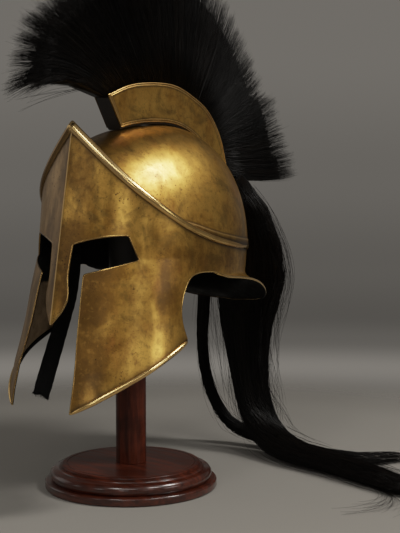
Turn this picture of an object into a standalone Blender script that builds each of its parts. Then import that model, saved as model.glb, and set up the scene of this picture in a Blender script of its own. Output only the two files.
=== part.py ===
"""A crested bronze helmet of the Corinthian kind on a turned wooden stand.

Metres, +Z up. The origin is the middle of the stand's underside, the helmet faces -Y,
and +X is the wearer's left. The helmet's wall is a sheet laid out flat first: "along" is
the distance round the wall from the front crease, and z is the height. The pattern is
cut in those two coordinates and then bent round the plan outline.
"""

from math import cos, pi, radians, sin

import bmesh
import bpy
import numpy as np
from mathutils import Vector
from mathutils.geometry import delaunay_2d_cdt

GAP = 0.0003  # clearance between neighbouring pieces
FLOOR_GAP = 0.0005  # hair that lies on the surface stays this far above it

# The wall's plan outline: a folded prow in front, a full half oval behind
HALF_WIDTH = 0.095
WIDEST_Y = 0.025
NAPE_Y = 0.1575
BACK_FULLNESS = 2.1  # 2 is an ellipse, more is squarer
SWEEP = radians(18.0)  # how far each half of the face turns back from straight ahead
FRONT_REACH = 0.088  # length of the nearly flat part beside the crease
SIDE_REACH = 0.068  # length of the nearly straight part beside the ear
PEAK_Y, PEAK_Z = -0.088, 0.391  # top of the front crease
NOSE_Y, NOSE_Z = -0.122, 0.188  # its lower end, the tip of the nasal
WALL = 0.002  # sheet thickness

# The skull bowl: half ovals in plan on one centre, a rounded profile
BOWL_Y = 0.0435
BOWL_HALF_WIDTH = 0.094
BOWL_FRONT, BOWL_BACK = 0.182, 0.1135
BOWL_FOOT_Z, BOWL_TOP_Z = 0.262, 0.3945
BOWL_RISE, BOWL_ROUND = 2.06, 2.19  # exponents of the profile
BOWL_WALL = 0.0018

# How far the cheeks stand out from the plain wall
FLARE = {"z": [0.100, 0.120, 0.145, 0.170, 0.190, 0.222, 0.255, 0.400],
         "out": [0.0180, 0.0175, 0.0150, 0.0105, 0.0075, 0.0045, 0.0, 0.0]}
FLARE_STARTS, FLARE_FULL = 0.019, 0.031  # along
FLARE_FADES, FLARE_ENDS = 0.095, 0.185  # along

# The brow roll: its height along the wall, and its radius in front and behind
ROLL = {"along": [0.0, 0.0228, 0.0590, 0.0937, 0.1420, 0.1813, 0.2320, 0.2900, 0.3700],
        "z": [0.3890, 0.3700, 0.3405, 0.3155, 0.2880, 0.2740, 0.2645, 0.2595, 0.2575]}
ROLL_FRONT_R, ROLL_BACK_R = 0.0050, 0.0036
ROLL_SET_IN = 0.0012  # the roll's centre line, inside the outer face

# The flat pattern of the face guard's openings and edges: (along, z)
EYE_INNER_TOP, EYE_OUTER_TOP = (0.0150, 0.2700), (0.0737, 0.2790)
EYE_OUTER_LOW, CHEEK_CORNER = (0.0869, 0.2535), (0.0315, 0.2393)
EYE_ARCH = 0.0025  # rise of the brow edge between its corners
NASAL = {"z": [0.1880, 0.1935, 0.2030, 0.2110, 0.2365, 0.2700],
         "along": [0.0, 0.0045, 0.0113, 0.0148, 0.0133, 0.0150]}
CHEEK_FRONT = {"z": [0.1083, 0.1285, 0.1485, 0.1760, 0.2393],
               "along": [0.0354, 0.0359, 0.0356, 0.0338, 0.0315]}
CHEEK_RIM = {"along": [0.0354, 0.0590, 0.0895, 0.1134, 0.1399],
             "z": [0.1040, 0.1190, 0.1395, 0.1550, 0.1690]}
NOTCH = {"z": [0.1733, 0.1865, 0.2025, 0.2120, 0.2200, 0.2285],
         "along": [0.1399, 0.1343, 0.1330, 0.1346, 0.1375, 0.1418]}
NOTCH_TOP = {"along": [0.1418, 0.1477, 0.1553, 0.1632, 0.1834],
             "z": [0.2285, 0.2345, 0.2377, 0.2388, 0.2385]}
CHEEK_RIM_R = 0.0030
RIM_CLEAR = 0.0043  # the sheet's edge stops this far above the rim's centre line

# The neck guard: height of its free edge, how far that stands out, and how far the
# wall comes straight down before it turns out
NECK = {"along": [0.1834, 0.2040, 0.2340, 0.2580, 0.2790, 0.2980, 0.3170, 0.3700],
        "edge_z": [0.2385, 0.2330, 0.2295, 0.2255, 0.2190, 0.2100, 0.2000, 0.1910],
        "out": [0.0, 0.0015, 0.0055, 0.0105, 0.0160, 0.0215, 0.0260, 0.0290]}
NECK_SLOPE = 0.45  # fall of the flange for each metre it stands out
NECK_BEND = 0.008  # size of the bend into the flange
NECK_LEAN, NECK_LEAN_RUN = 0.0020, 0.050  # how far the wall leans in above it
BEND_FROM, BEND_TO = 0.40, 0.70  # shares of a section before and after the bend
NECK_RIM_R = 0.0014
NECK_RIM_STARTS = 0.2040  # along

# The crest holder on the bowl's middle: angle down the bowl's profile from its top
# (negative is in front), and the outer edge's place
CREST = {"turn": [-19.4, -10.0, 0.0, 20.0, 30.0, 40.0, 56.6],
         "y": [-0.0447, -0.0080, 0.0400, 0.0995, 0.1235, 0.1425, 0.1605],
         "z": [0.4236, 0.4360, 0.4405, 0.4265, 0.4125, 0.3895, 0.3430]}
CORE_HALF = 0.0090
CORE_SUNK = 0.0030  # the block's top is this far under the plates' edge
PLATE = 0.0013
PLATE_LIFT = 0.0030  # the plates' lower edge stands this far off the bowl

# The standing hair: where the tips reach, and how far the hair bows up between
HAIR = {"turn": [-19.4, -15.0, -10.0, -3.0, 6.0, 20.0, 30.0, 40.0, 49.0, 56.6],
        "y": [-0.164, -0.143, -0.108, -0.053, 0.028, 0.138, 0.194, 0.241, 0.281, 0.297],
        "z": [0.423, 0.478, 0.518, 0.564, 0.590, 0.547, 0.492, 0.438, 0.381, 0.338],
        "bow": [0.013, 0.008, 0.004, 0.0, 0.0, 0.0, 0.0, -0.002, -0.004, -0.006]}
# Section of the standing hair: share of its length, half thickness
BRUSH = {"share": [0.0, 0.30, 0.70, 0.93, 1.0], "half": [0.0084, 0.0110, 0.0160, 0.0160, 0.0080]}

# Hair that falls: centre line, half width, half thickness, and the compass turn of the
# width (0 is across the helmet, 90 is front to back)
TAIL = (
    # x, y, z, width, thick, turn
    (0.008, 0.1720, 0.3330, 0.018, 0.009, 0),
    (0.015, 0.1800, 0.3180, 0.022, 0.011, 0),
    (0.020, 0.1900, 0.2960, 0.028, 0.012, 0),
    (0.014, 0.2050, 0.2620, 0.040, 0.013, 0),
    (0.004, 0.2160, 0.2250, 0.048, 0.015, 0),
    (-0.006, 0.2200, 0.1850, 0.045, 0.016, 0),
    (-0.003, 0.2190, 0.1250, 0.030, 0.016, 0),
    (0.007, 0.2160, 0.0710, 0.022, 0.016, 10),
    (0.021, 0.2130, 0.0405, 0.020, 0.016, 35),
    (0.042, 0.2070, 0.0220, 0.021, 0.0155, 65),
    (0.072, 0.1975, 0.0150, 0.023, 0.0135, 85),
    (0.111, 0.1870, 0.0125, 0.021, 0.0115, 90),
    (0.162, 0.1795, 0.0110, 0.021, 0.0100, 90),
    (0.220, 0.1610, 0.0100, 0.019, 0.0088, 80),
    (0.265, 0.1490, 0.0078, 0.014, 0.0066, 75),
    (0.300, 0.1445, 0.0050, 0.005, 0.0036, 75),
)
LOCK = (
    (-0.0180, 0.1660, 0.3270, 0.003, 0.003, 0),
    (-0.0270, 0.1770, 0.3040, 0.004, 0.004, 0),
    (-0.0420, 0.1920, 0.2700, 0.005, 0.005, 0),
    (-0.0570, 0.2030, 0.2350, 0.006, 0.006, 0),
    (-0.0655, 0.2110, 0.1850, 0.007, 0.007, 0),
    (-0.0700, 0.2130, 0.1440, 0.007, 0.007, 0),
    (-0.0667, 0.2150, 0.0937, 0.0065, 0.0065, 0),
    (-0.0571, 0.2210, 0.0567, 0.006, 0.006, 20),
    (-0.0398, 0.2330, 0.0256, 0.007, 0.006, 50),
    (0.0065, 0.2375, 0.0125, 0.009, 0.0075, 80),
    (0.0480, 0.2390, 0.0090, 0.010, 0.0075, 90),
    (0.1175, 0.2235, 0.0080, 0.010, 0.0070, 90),
    (0.1567, 0.2375, 0.0075, 0.010, 0.0065, 105),
    (0.1776, 0.2805, 0.0062, 0.009, 0.0052, 110),
    (0.2087, 0.2950, 0.0042, 0.004, 0.0030, 115),
)

# The chin strap: its middle line as it hangs inside the wearer's right cheek
STRAP = {"x": [-0.0903, -0.0892, -0.0875, -0.0855, -0.0830, -0.0800],
         "y": [0.0060, 0.0040, -0.0050, -0.0220, -0.0400, -0.0590],
         "z": [0.2620, 0.2400, 0.2050, 0.1700, 0.1350, 0.0980],
         "turn": [90.0, 88.0, 82.0, 76.0, 70.0, 66.0]}
STRAP_WIDTH, STRAP_THICK = 0.020, 0.0024
RIVET_R, RIVET_HEIGHT = 0.0042, 0.0016

# The stand
PLINTH_R, PLINTH_H = 0.094, 0.0090
TIER_R, TIER_H = 0.0885, 0.0125
DISC_R, DISC_Z = 0.076, 0.0260
POST_R = 0.0165
HEAD_R, HEAD_H = 0.041, 0.040  # the cap under the crown
HEAD_TOP_Z = 0.3866
SLEEVE_R, SLEEVE_Z = 0.0232, 0.2280  # the thicker neck below the cap, and where it ends
TURNING_STEPS = 48


# ---------------------------------------------------------------- helpers


def curve(x, xs, ys):
    """A smooth curve through the points (xs, ys), read at x: Hermite pieces."""
    xs, ys, x = (np.asarray(v, float) for v in (xs, ys, x))
    slope = np.gradient(ys, xs)
    i = np.clip(np.searchsorted(xs, x) - 1, 0, len(xs) - 2)
    h = xs[i + 1] - xs[i]
    t = np.clip((x - xs[i]) / h, 0.0, 1.0)
    return (
        (2 * t**3 - 3 * t**2 + 1) * ys[i] + (t**3 - 2 * t**2 + t) * h * slope[i]
        + (3 * t**2 - 2 * t**3) * ys[i + 1] + (t**3 - t**2) * h * slope[i + 1]
    )


def ease(x):
    """0 to 1 with flat ends."""
    x = np.clip(x, 0.0, 1.0)
    return x * x * (3 - 2 * x)


def unit(v):
    return v / np.linalg.norm(v, axis=-1, keepdims=True)


def finish(name, colour, roughness, metallic):
    """A plain Principled material."""
    material = bpy.data.materials.new(name)
    material.use_nodes = True
    shader = material.node_tree.nodes["Principled BSDF"]
    shader.inputs["Base Color"].default_value = (*colour, 1.0)
    shader.inputs["Roughness"].default_value = roughness
    shader.inputs["Metallic"].default_value = metallic
    material.diffuse_color = (*colour, 1.0)
    return material


def add_piece(name, verts, faces, material):
    """A mesh object with its faces turned outward, smooth but for its sharp edges."""
    mesh = bpy.data.meshes.new(name)
    mesh.from_pydata([tuple(v) for v in verts], [], [tuple(f) for f in faces])
    skin = bmesh.new()
    skin.from_mesh(mesh)
    bmesh.ops.recalc_face_normals(skin, faces=skin.faces)
    skin.to_mesh(mesh)
    skin.free()
    mesh.materials.append(material)
    piece = bpy.data.objects.new(name, mesh)
    bpy.context.scene.collection.objects.link(piece)
    mesh.shade_smooth()
    mesh.set_sharp_from_angle(angle=radians(40.0))
    return piece


def grid_faces(rows, columns, closed_rows=False, closed_columns=False):
    """Quads of a rows x columns grid of vertices, wrapped round where it is closed."""
    r = np.arange(rows if closed_rows else rows - 1)[:, None]
    c = np.arange(columns if closed_columns else columns - 1)[None, :]
    r1, c1 = (r + 1) % rows, (c + 1) % columns
    quads = np.stack([r * columns + c, r * columns + c1, r1 * columns + c1, r1 * columns + c], -1)
    return quads.reshape(-1, 4).tolist()


def add_tube(name, rings, material, closed=False):
    """A solid skin over rings of points (stations x points), with flat end caps."""
    stations, around = rings.shape[:2]
    faces = grid_faces(stations, around, closed_rows=closed, closed_columns=True)
    if not closed:
        last = (stations - 1) * around
        faces.append(list(range(around))[::-1])
        faces.append(list(range(last, last + around)))
    return add_piece(name, rings.reshape(-1, 3), faces, material)


def add_turned(name, profile, material, place=(0.0, 0.0, 0.0), turn=(0.0, 0.0, 0.0)):
    """A turned piece: the profile (radius, z), top to bottom, spun round its own Z."""
    mesh = bpy.data.meshes.new(name)
    edges = [(i, i + 1) for i in range(len(profile) - 1)]
    mesh.from_pydata([(r, 0.0, z) for r, z in profile], edges, [])
    mesh.materials.append(material)
    piece = bpy.data.objects.new(name, mesh)
    bpy.context.scene.collection.objects.link(piece)
    piece.location, piece.rotation_euler = place, turn
    spin = piece.modifiers.new("Spin", "SCREW")
    spin.steps = spin.render_steps = TURNING_STEPS
    spin.use_merge_vertices = True
    spin.merge_threshold = 0.00001
    spin.use_smooth_shade = True
    return piece


def round_corner(centre, radius, start, end, steps=5):
    """Points of an arc in (radius, z), angles in degrees from straight out."""
    return [
        (centre[0] + radius * cos(radians(a)), centre[1] + radius * sin(radians(a)))
        for a in np.linspace(start, end, steps)
    ]


# ---------------------------------------------------------------- the helmet's wall


def crease_y(z):
    """The front crease is straight and leans forward going down."""
    return PEAK_Y + (NOSE_Y - PEAK_Y) * (PEAK_Z - z) / (PEAK_Z - NOSE_Z)


def plan(share, z):
    """The wall in plan at height z: 0 is the crease, 1 the widest point, 2 the nape.

    In front it is a cubic Bezier from the crease to the side, behind a fuller half oval.
    """
    share = np.asarray(share, float)
    z = np.asarray(z, float) + 0 * share
    f = np.clip(share, 0, 1)
    weights = ((1 - f) ** 3, 3 * f * (1 - f) ** 2, 3 * f**2 * (1 - f), f**3)
    xs = (0.0, FRONT_REACH * cos(SWEEP), HALF_WIDTH, HALF_WIDTH)
    ys = (crease_y(z), crease_y(z) + FRONT_REACH * sin(SWEEP), WIDEST_Y - SIDE_REACH, WIDEST_Y)
    x = sum(w * v for w, v in zip(weights, xs))
    y = sum(w * v for w, v in zip(weights, ys))
    t = np.clip(share - 1, 0, 1) * pi / 2
    back_x = HALF_WIDTH * np.abs(np.cos(t)) ** (2 / BACK_FULLNESS)
    back_y = WIDEST_Y + (NAPE_Y - WIDEST_Y) * np.abs(np.sin(t)) ** (2 / BACK_FULLNESS)
    return np.where(share <= 1, x, back_x), np.where(share <= 1, y, back_y)


MEASURED_Z = 0.25  # height at which "along" is measured
SHARES = np.linspace(0, 2, 4001)
ALONG = np.concatenate([[0.0], np.cumsum(np.hypot(*(np.diff(v) for v in plan(SHARES, MEASURED_Z))))])
SIDE = float(np.interp(1.0, SHARES, ALONG))  # the widest point
BACK = float(ALONG[-1])  # the middle of the nape


def outward(along, z):
    """The wall's outward direction in plan, for the wearer's left half."""
    step = 0.0005
    x0, y0 = plan(np.interp(np.maximum(along - step, 0), ALONG, SHARES), z)
    x1, y1 = plan(np.interp(np.minimum(along + step, BACK), ALONG, SHARES), z)
    return unit(np.stack([y1 - y0, x0 - x1, 0 * x0], -1))


def wall(along, z, out=0.0):
    """A point of the wall's outer face, moved outward by out. Minus is the right half."""
    along, z = np.broadcast_arrays(np.asarray(along, float), np.asarray(z, float))
    a = np.abs(along)
    x, y = plan(np.interp(a, ALONG, SHARES), z)
    flare = np.interp(z, FLARE["z"], FLARE["out"])
    flare = flare * ease((a - FLARE_STARTS) / (FLARE_FULL - FLARE_STARTS))
    flare = flare * ease((FLARE_ENDS - a) / (FLARE_ENDS - FLARE_FADES))
    point = np.stack([x, y, z], -1) + outward(a, z) * (flare + out)[..., None]
    point[..., 0] = np.where((a < 1e-6) | (a > BACK - 1e-6), 0.0, np.maximum(point[..., 0], 0.0))
    point[..., 0] *= np.where(along < 0, -1.0, 1.0)
    return point


def roll_z(along):
    return curve(np.abs(along), ROLL["along"], ROLL["z"])


def roll_radius(along):
    return ROLL_FRONT_R + (ROLL_BACK_R - ROLL_FRONT_R) * ease(np.abs(along) / SIDE)


def under_roll(along):
    """Height of the wall's upper edge, just clear of the roll above it."""
    step = 0.001
    slope = (roll_z(np.abs(along) + step) - roll_z(np.maximum(np.abs(along) - step, 0))) / (2 * step)
    return roll_z(along) - (roll_radius(along) + GAP) * np.sqrt(1 + slope**2) - 0.55 * WALL


def roll_path(steps):
    """Centre line of the brow roll, once round from the peak."""
    along = np.concatenate([np.linspace(0, BACK, steps), -np.linspace(0, BACK, steps)[-2:0:-1]])
    return along, wall(along, roll_z(along), -ROLL_SET_IN)


# ---------------------------------------------------------------- the sheet pieces


def spaced(points, spacing):
    """Points at even steps of about the spacing along an open polyline."""
    points = np.asarray(points, float)
    length = np.concatenate([[0.0], np.cumsum(np.hypot(*np.diff(points, axis=0).T))])
    count = max(1, round(length[-1] / spacing))
    at = np.linspace(0, length[-1], count + 1)
    return np.stack([np.interp(at, length, points[:, k]) for k in (0, 1)], -1)


def run_of(table, across, up, count=24):
    """A smooth table drawn as a polyline of (along, z); `up` names the driving column."""
    t = np.linspace(table[up][0], table[up][-1], count)
    other = curve(t, table[up], table[across])
    return np.stack([other, t] if up == "z" else [t, other], -1)


def face_outline(spacing):
    """The flat pattern of half the face guard, once round from the peak."""
    rear = SIDE - GAP
    top = np.linspace(0.0, rear, 60)
    eye_top = np.linspace(0, 1, 12)
    brow = np.outer(1 - eye_top, EYE_OUTER_TOP) + np.outer(eye_top, EYE_INNER_TOP)
    brow[:, 1] += EYE_ARCH * 4 * eye_top * (1 - eye_top)
    notch_top = run_of(NOTCH_TOP, "z", "along")
    notch_top[-1, 0] = rear
    runs = [
        np.stack([top, under_roll(top)], -1),
        [(rear, float(under_roll(rear))), (rear, NOTCH_TOP["z"][-1])],
        notch_top[::-1],
        run_of(NOTCH, "along", "z")[::-1],
        run_of(CHEEK_RIM, "z", "along")[::-1] + [0.0, RIM_CLEAR],
        run_of(CHEEK_FRONT, "along", "z")[1:],
        [CHEEK_CORNER, EYE_OUTER_LOW],
        [EYE_OUTER_LOW, EYE_OUTER_TOP],
        brow,
        run_of(NASAL, "along", "z")[::-1],
        [(0.0, NOSE_Z), (0.0, float(under_roll(0.0)))],
    ]
    return [spaced(run, spacing) for run in runs]


def inside(points, loop):
    """Which points lie inside a closed polygon (crossing count)."""
    a, b = loop, np.roll(loop, -1, axis=0)
    px, py = points[:, :1], points[:, 1:]
    spans = (a[:, 1] > py) != (b[:, 1] > py)
    rise = np.where(b[:, 1] == a[:, 1], 1.0, b[:, 1] - a[:, 1])
    crossing = px < a[:, 0] + (py - a[:, 1]) / rise * (b[:, 0] - a[:, 0])
    return (spans & crossing).sum(1) % 2 == 1


def fill_pattern(runs, spacing):
    """Triangles over a flat pattern: its outline's points and an even grid inside it."""
    loop = np.concatenate([run[:-1] for run in runs])
    low, high = loop.min(0), loop.max(0)
    xs = np.arange(low[0] + spacing / 2, high[0], spacing)
    zs = np.arange(low[1] + spacing / 2, high[1], spacing)
    grid = np.stack(np.meshgrid(xs, zs), -1).reshape(-1, 2)
    grid[:, 0] += spacing / 2 * (np.round(grid[:, 1] / spacing).astype(int) % 2)
    grid = grid[inside(grid, loop)]
    nearest = np.hypot(*(grid[:, None] - loop[None]).transpose(2, 0, 1)).min(1)
    grid = grid[nearest > 0.6 * spacing]
    points = np.concatenate([loop, grid])
    verts, _, faces, *_ = delaunay_2d_cdt(
        [Vector(p) for p in points], [], [list(range(len(loop)))], 1, 1e-7
    )
    return np.array([tuple(v) for v in verts]), np.array([tuple(f) for f in faces])


def mirrored_sheet(flat, triangles, outer, inner):
    """Joins a half pattern to its mirror at along = 0 and gives it its two faces."""
    on_crease = flat[:, 0] < 1e-6
    other = np.where(on_crease, np.arange(len(flat)), len(flat) + np.cumsum(~on_crease) - 1)
    both = np.concatenate([flat, flat[~on_crease] * [-1, 1]])
    sheet = np.concatenate([triangles, other[triangles][:, ::-1]])
    edges = np.concatenate([sheet[:, [0, 1]], sheet[:, [1, 2]], sheet[:, [2, 0]]])
    key = edges[:, 0] * len(both) + edges[:, 1]
    back = edges[:, 1] * len(both) + edges[:, 0]
    rim = edges[~np.isin(key, back)]
    n = len(both)
    verts = np.concatenate([outer(both), inner(both)])
    side = np.stack([rim[:, 1], rim[:, 0], rim[:, 0] + n, rim[:, 1] + n], -1)
    return verts, sheet.tolist() + (sheet[:, ::-1] + n).tolist() + side.tolist()


def face_guard(material, spacing=0.0095):
    flat, triangles = fill_pattern(face_outline(spacing), spacing)
    verts, faces = mirrored_sheet(
        flat, triangles,
        lambda p: wall(p[:, 0], p[:, 1]),
        lambda p: wall(p[:, 0], p[:, 1], -WALL),
    )
    return add_piece("face_guard", verts, faces, material)


def neck_point(along, drop, out=0.0):
    """The neck guard: drop 0 is under the roll, 1 the free edge of the flange.

    Each upright section comes straight down the wall, turns out through a quadratic
    bend, and runs straight to the free edge.
    """
    a, drop = np.broadcast_arrays(np.abs(along), drop)
    reach = curve(a, NECK["along"], NECK["out"])
    edge_z = curve(a, NECK["along"], NECK["edge_z"])
    root_z = edge_z + NECK_SLOPE * reach
    lean = -NECK_LEAN * ease((a - SIDE) / NECK_LEAN_RUN)
    bend = np.minimum(NECK_BEND, 0.6 * reach)
    share = bend / np.maximum(reach, bend + 1e-6)
    top = np.stack([0 * a, under_roll(a)])
    before = np.stack([lean, root_z + bend])
    corner = np.stack([lean, root_z])
    edge = np.stack([reach, edge_z])
    after = corner + (edge - corner) * share
    t = np.clip((drop - BEND_FROM) / (BEND_TO - BEND_FROM), 0, 1)
    upper = top + (before - top) * np.clip(drop / BEND_FROM, 0, 1)
    bent = (1 - t) ** 2 * before + 2 * t * (1 - t) * corner + t**2 * after
    lower = after + (edge - after) * np.clip((drop - BEND_TO) / (1 - BEND_TO), 0, 1)
    r, z = np.where(drop < BEND_FROM, upper, np.where(drop < BEND_TO, bent, lower))
    return wall(along, z, r + out)


def neck_guard(material, columns=22, rows=10):
    start = SIDE + GAP
    half = np.linspace(start, BACK, columns)
    along = np.concatenate([-half, half[-2::-1]])
    drop = np.linspace(0, 1, rows)
    a, d = np.meshgrid(along, drop, indexing="ij")
    outer = neck_point(a, d)
    normal = unit(np.cross(np.gradient(outer, axis=0), np.gradient(outer, axis=1)))
    if (normal[columns // 2, 1, :2] * outer[columns // 2, 1, :2]).sum() < 0:
        normal = -normal
    inner = outer - normal * WALL
    # the upper edge stays level with the roll's underside
    inner[:, 0, 2] = outer[:, 0, 2]
    loop = np.concatenate([outer, inner[:, ::-1]], axis=1)
    return add_tube("neck_guard", loop, material)


def bowl(angle, turn, shrink=0.0):
    """The skull bowl: compass angle round it, and turn down its profile from the top."""
    u = np.cos(turn)
    g = np.maximum(1 - np.abs(u) ** BOWL_RISE, 0.0) ** (1 / BOWL_ROUND)
    reach = np.where(np.sin(angle) > 0, BOWL_BACK, BOWL_FRONT) - shrink
    x = (BOWL_HALF_WIDTH - shrink) * g * np.cos(angle)
    y = BOWL_Y + reach * g * np.sin(angle)
    return np.stack([x, y, BOWL_FOOT_Z + (BOWL_TOP_Z - shrink - BOWL_FOOT_Z) * u], -1)


def bowl_edge(angles, steps=400):
    """How far down the bowl runs at each angle: to the roll, or to the wall behind it."""
    turns = np.linspace(0, pi / 2, steps)
    points = bowl(*np.meshgrid(angles, turns, indexing="ij"))
    along, path = roll_path(160)
    radius = roll_radius(along)
    flat_points = points.reshape(-1, 3)
    off_roll = np.empty(len(flat_points))
    nearest = np.empty(len(flat_points), int)
    for first in range(0, len(flat_points), 4000):
        part = slice(first, first + 4000)
        gap = np.linalg.norm(flat_points[part, None] - path[None], axis=2) - radius
        off_roll[part] = gap.min(1)
        plan_gap = np.linalg.norm(flat_points[part, None, :2] - path[None, :, :2], axis=2)
        nearest[part] = plan_gap.argmin(1)
    inner = wall(along[nearest], flat_points[:, 2], -WALL - 2 * GAP)
    out = outward(np.abs(along[nearest]), flat_points[:, 2])
    out[:, 0] *= np.where(along[nearest] < 0, -1.0, 1.0)
    clear_of_wall = ((flat_points - inner) * out).sum(1) < 0
    above_roll = flat_points[:, 2] > path[nearest, 2]
    fine = (off_roll > 3 * GAP) & (above_roll | clear_of_wall)
    fine = fine.reshape(points.shape[:2])
    fine[:, -1] = False
    return turns[np.argmin(fine, axis=1) - 1]


def skull_bowl(material, around=60, rows=10):
    angles = np.linspace(0, 2 * pi, around, endpoint=False) + pi / 2
    edge = bowl_edge(angles)
    shares = np.linspace(0, 1, rows + 1)[1:]
    turn, angle = np.outer(shares, edge), np.tile(angles, (rows, 1))
    outer = bowl(angle, turn)
    inner = bowl(angle, turn, BOWL_WALL)
    inner[-1, :, 2] = outer[-1, :, 2]
    rings = np.concatenate([outer, inner[::-1]])
    faces = grid_faces(len(rings), around, closed_columns=True)
    top, under = len(rings) * around, len(rings) * around + 1
    last = (len(rings) - 1) * around
    for k in range(around):
        follow = (k + 1) % around
        faces.append([top, follow, k])
        faces.append([under, last + k, last + follow])
    poles = [(0.0, BOWL_Y, BOWL_TOP_Z), (0.0, BOWL_Y, BOWL_TOP_Z - BOWL_WALL)]
    verts = np.concatenate([rings.reshape(-1, 3), poles])
    return add_piece("skull_bowl", verts, faces, material)


def tube_rings(path, radius, outs, around=8, closed=False):
    """Rings of a round tube on a path; outs points away from the helmet at each station."""
    if closed:
        tangent = unit(np.roll(path, -1, 0) - np.roll(path, 1, 0))
    else:
        tangent = unit(np.gradient(path, axis=0))
    side = unit(outs - (outs * tangent).sum(1, keepdims=True) * tangent)
    other = np.cross(tangent, side)
    t = np.arange(around) / around * 2 * pi
    return path[:, None] + np.asarray(radius).reshape(-1, 1, 1) * (
        side[:, None] * np.cos(t)[None, :, None] + other[:, None] * np.sin(t)[None, :, None]
    )


def brow_roll(material, steps=46):
    """The rolled bead: a closed tube, mitred where its halves meet at the peak."""
    along, path = roll_path(steps)
    outs = outward(np.abs(along), roll_z(along))
    outs[:, 0] *= np.where(along < 0, -1.0, 1.0)
    outs[0] = (0.0, -1.0, 0.0)
    rings = tube_rings(path, roll_radius(along), outs, closed=True)
    fall = unit((path[1] - path[-1])[None])[0]
    slope = unit((path[1] - path[0])[None])[0]
    rings[0, :, 2] = path[0, 2] + (rings[0, :, 2] - path[0, 2]) / max(abs(slope @ fall) ** 0.5, 0.5)
    return add_tube("brow_roll", rings, material, closed=True)


def cheek_rim(side, name, material, steps=20):
    """The rolled rim on a cheek's lower edge, 1 for the wearer's left, -1 for the right."""
    along = side * np.linspace(CHEEK_RIM["along"][0], CHEEK_RIM["along"][-1], steps)
    path = wall(along, curve(np.abs(along), CHEEK_RIM["along"], CHEEK_RIM["z"]), -WALL / 2)
    outs = outward(np.abs(along), path[:, 2])
    outs[:, 0] *= side
    return add_tube(name, tube_rings(path, CHEEK_RIM_R, outs), material)


def neck_rim(material, steps=24):
    """The thin rolled rim on the flange's free edge."""
    half = np.linspace(NECK_RIM_STARTS, BACK, steps)
    along = np.concatenate([half, -half[-2::-1]])
    edge = neck_point(along, np.ones_like(along))
    inner = neck_point(along, np.full_like(along, 0.97))
    outs = unit(edge - inner)
    path = edge + outs * (NECK_RIM_R + 2 * GAP) + [0, 0, -WALL / 2]
    upward = np.tile([0.0, 0.0, 1.0], (len(path), 1))
    return add_tube("neck_rim", tube_rings(path, NECK_RIM_R, upward), material)


# ---------------------------------------------------------------- the crest


def bowl_profile(turn_degrees, lift=0.0):
    """The bowl's middle section: (y, z) at a turn from its top, raised by lift."""
    turn = np.radians(np.asarray(turn_degrees, float))
    angle = np.where(turn < 0, -pi / 2, pi / 2)
    step = 0.01
    point = bowl(angle, np.abs(turn))[..., 1:]
    ahead = bowl(np.where(turn + step < 0, -pi / 2, pi / 2), np.abs(turn + step))[..., 1:]
    behind = bowl(np.where(turn - step < 0, -pi / 2, pi / 2), np.abs(turn - step))[..., 1:]
    run = unit(ahead - behind)
    return point + np.stack([-run[..., 1], run[..., 0]], -1) * lift


def crest_outer(turn, sink=0.0):
    """The holder's outer edge (y, z), moved in by sink."""
    y = curve(turn, CREST["turn"], CREST["y"])
    z = curve(turn, CREST["turn"], CREST["z"])
    edge = np.stack([y, z], -1)
    return edge - unit(edge - bowl_profile(turn)) * sink


def arched_bar(name, inner, outer, x0, x1, material):
    """A bar between an inner and an outer curve (y, z), from x0 to x1."""
    rings = np.stack([
        np.column_stack([np.full(len(c), x), c])
        for x, c in ((x0, inner), (x0, outer), (x1, outer), (x1, inner))
    ], axis=1)
    return add_tube(name, rings, material)


def crest_holder(wood, brass, steps=26):
    turn = np.linspace(CREST["turn"][0], CREST["turn"][-1], steps)
    arched_bar("crest_core", bowl_profile(turn, 2 * GAP), crest_outer(turn, CORE_SUNK),
               CORE_HALF, -CORE_HALF, wood)
    for side, name in ((1, "crest_plate_left"), (-1, "crest_plate_right")):
        near, far = side * (CORE_HALF + GAP), side * (CORE_HALF + GAP + PLATE)
        arched_bar(name, bowl_profile(turn, PLATE_LIFT), crest_outer(turn),
                   max(near, far), min(near, far), brass)


def crest_hair(material, steps=34):
    """The standing brush: at each station a tapering section from the holder to the tips."""
    turn = np.linspace(HAIR["turn"][0], HAIR["turn"][-1], steps)
    root = crest_outer(turn, CORE_SUNK - GAP)
    tip = np.stack([curve(turn, HAIR["turn"], HAIR[k]) for k in ("y", "z")], -1)
    bow = curve(turn, HAIR["turn"], HAIR["bow"])
    share = np.array(BRUSH["share"] + BRUSH["share"][::-1])
    half = np.array(BRUSH["half"] + [-h for h in BRUSH["half"][::-1]])
    middle = root[:, None] + share[None, :, None] * (tip - root)[:, None]
    middle[..., 1] += bow[:, None] * 4 * share * (1 - share)
    x = np.broadcast_to(half, middle.shape[:2])
    rings = np.concatenate([x[..., None], middle], -1)
    return add_tube("crest_hair", rings[:, ::-1], material)


def falling_hair(name, rows, material, steps=44, around=10):
    """A solid of the outer form of hair that falls: flattened rings along a smooth path."""
    rows = np.array(rows, float)
    reach = np.concatenate([[0.0], np.cumsum(np.linalg.norm(np.diff(rows[:, :3], axis=0), axis=1))])
    at = np.linspace(0, reach[-1], steps)
    x, y, z, width, thick, turn = (curve(at, reach, rows[:, k]) for k in range(6))
    path = np.stack([x, y, z], -1)
    tangent = unit(np.gradient(path, axis=0))
    turn = np.radians(turn)
    side = np.stack([np.cos(turn), np.sin(turn), 0 * turn], -1)
    side = unit(side - (side * tangent).sum(1, keepdims=True) * tangent)
    other = np.cross(tangent, side)
    t = np.arange(around) / around * 2 * pi
    rings = path[:, None] + (
        side[:, None] * (width[:, None] * np.cos(t))[..., None]
        + other[:, None] * (thick[:, None] * np.sin(t))[..., None]
    )
    rings[..., 2] = np.maximum(rings[..., 2], FLOOR_GAP)
    return add_tube(name, rings, material)


# ---------------------------------------------------------------- the strap


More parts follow.
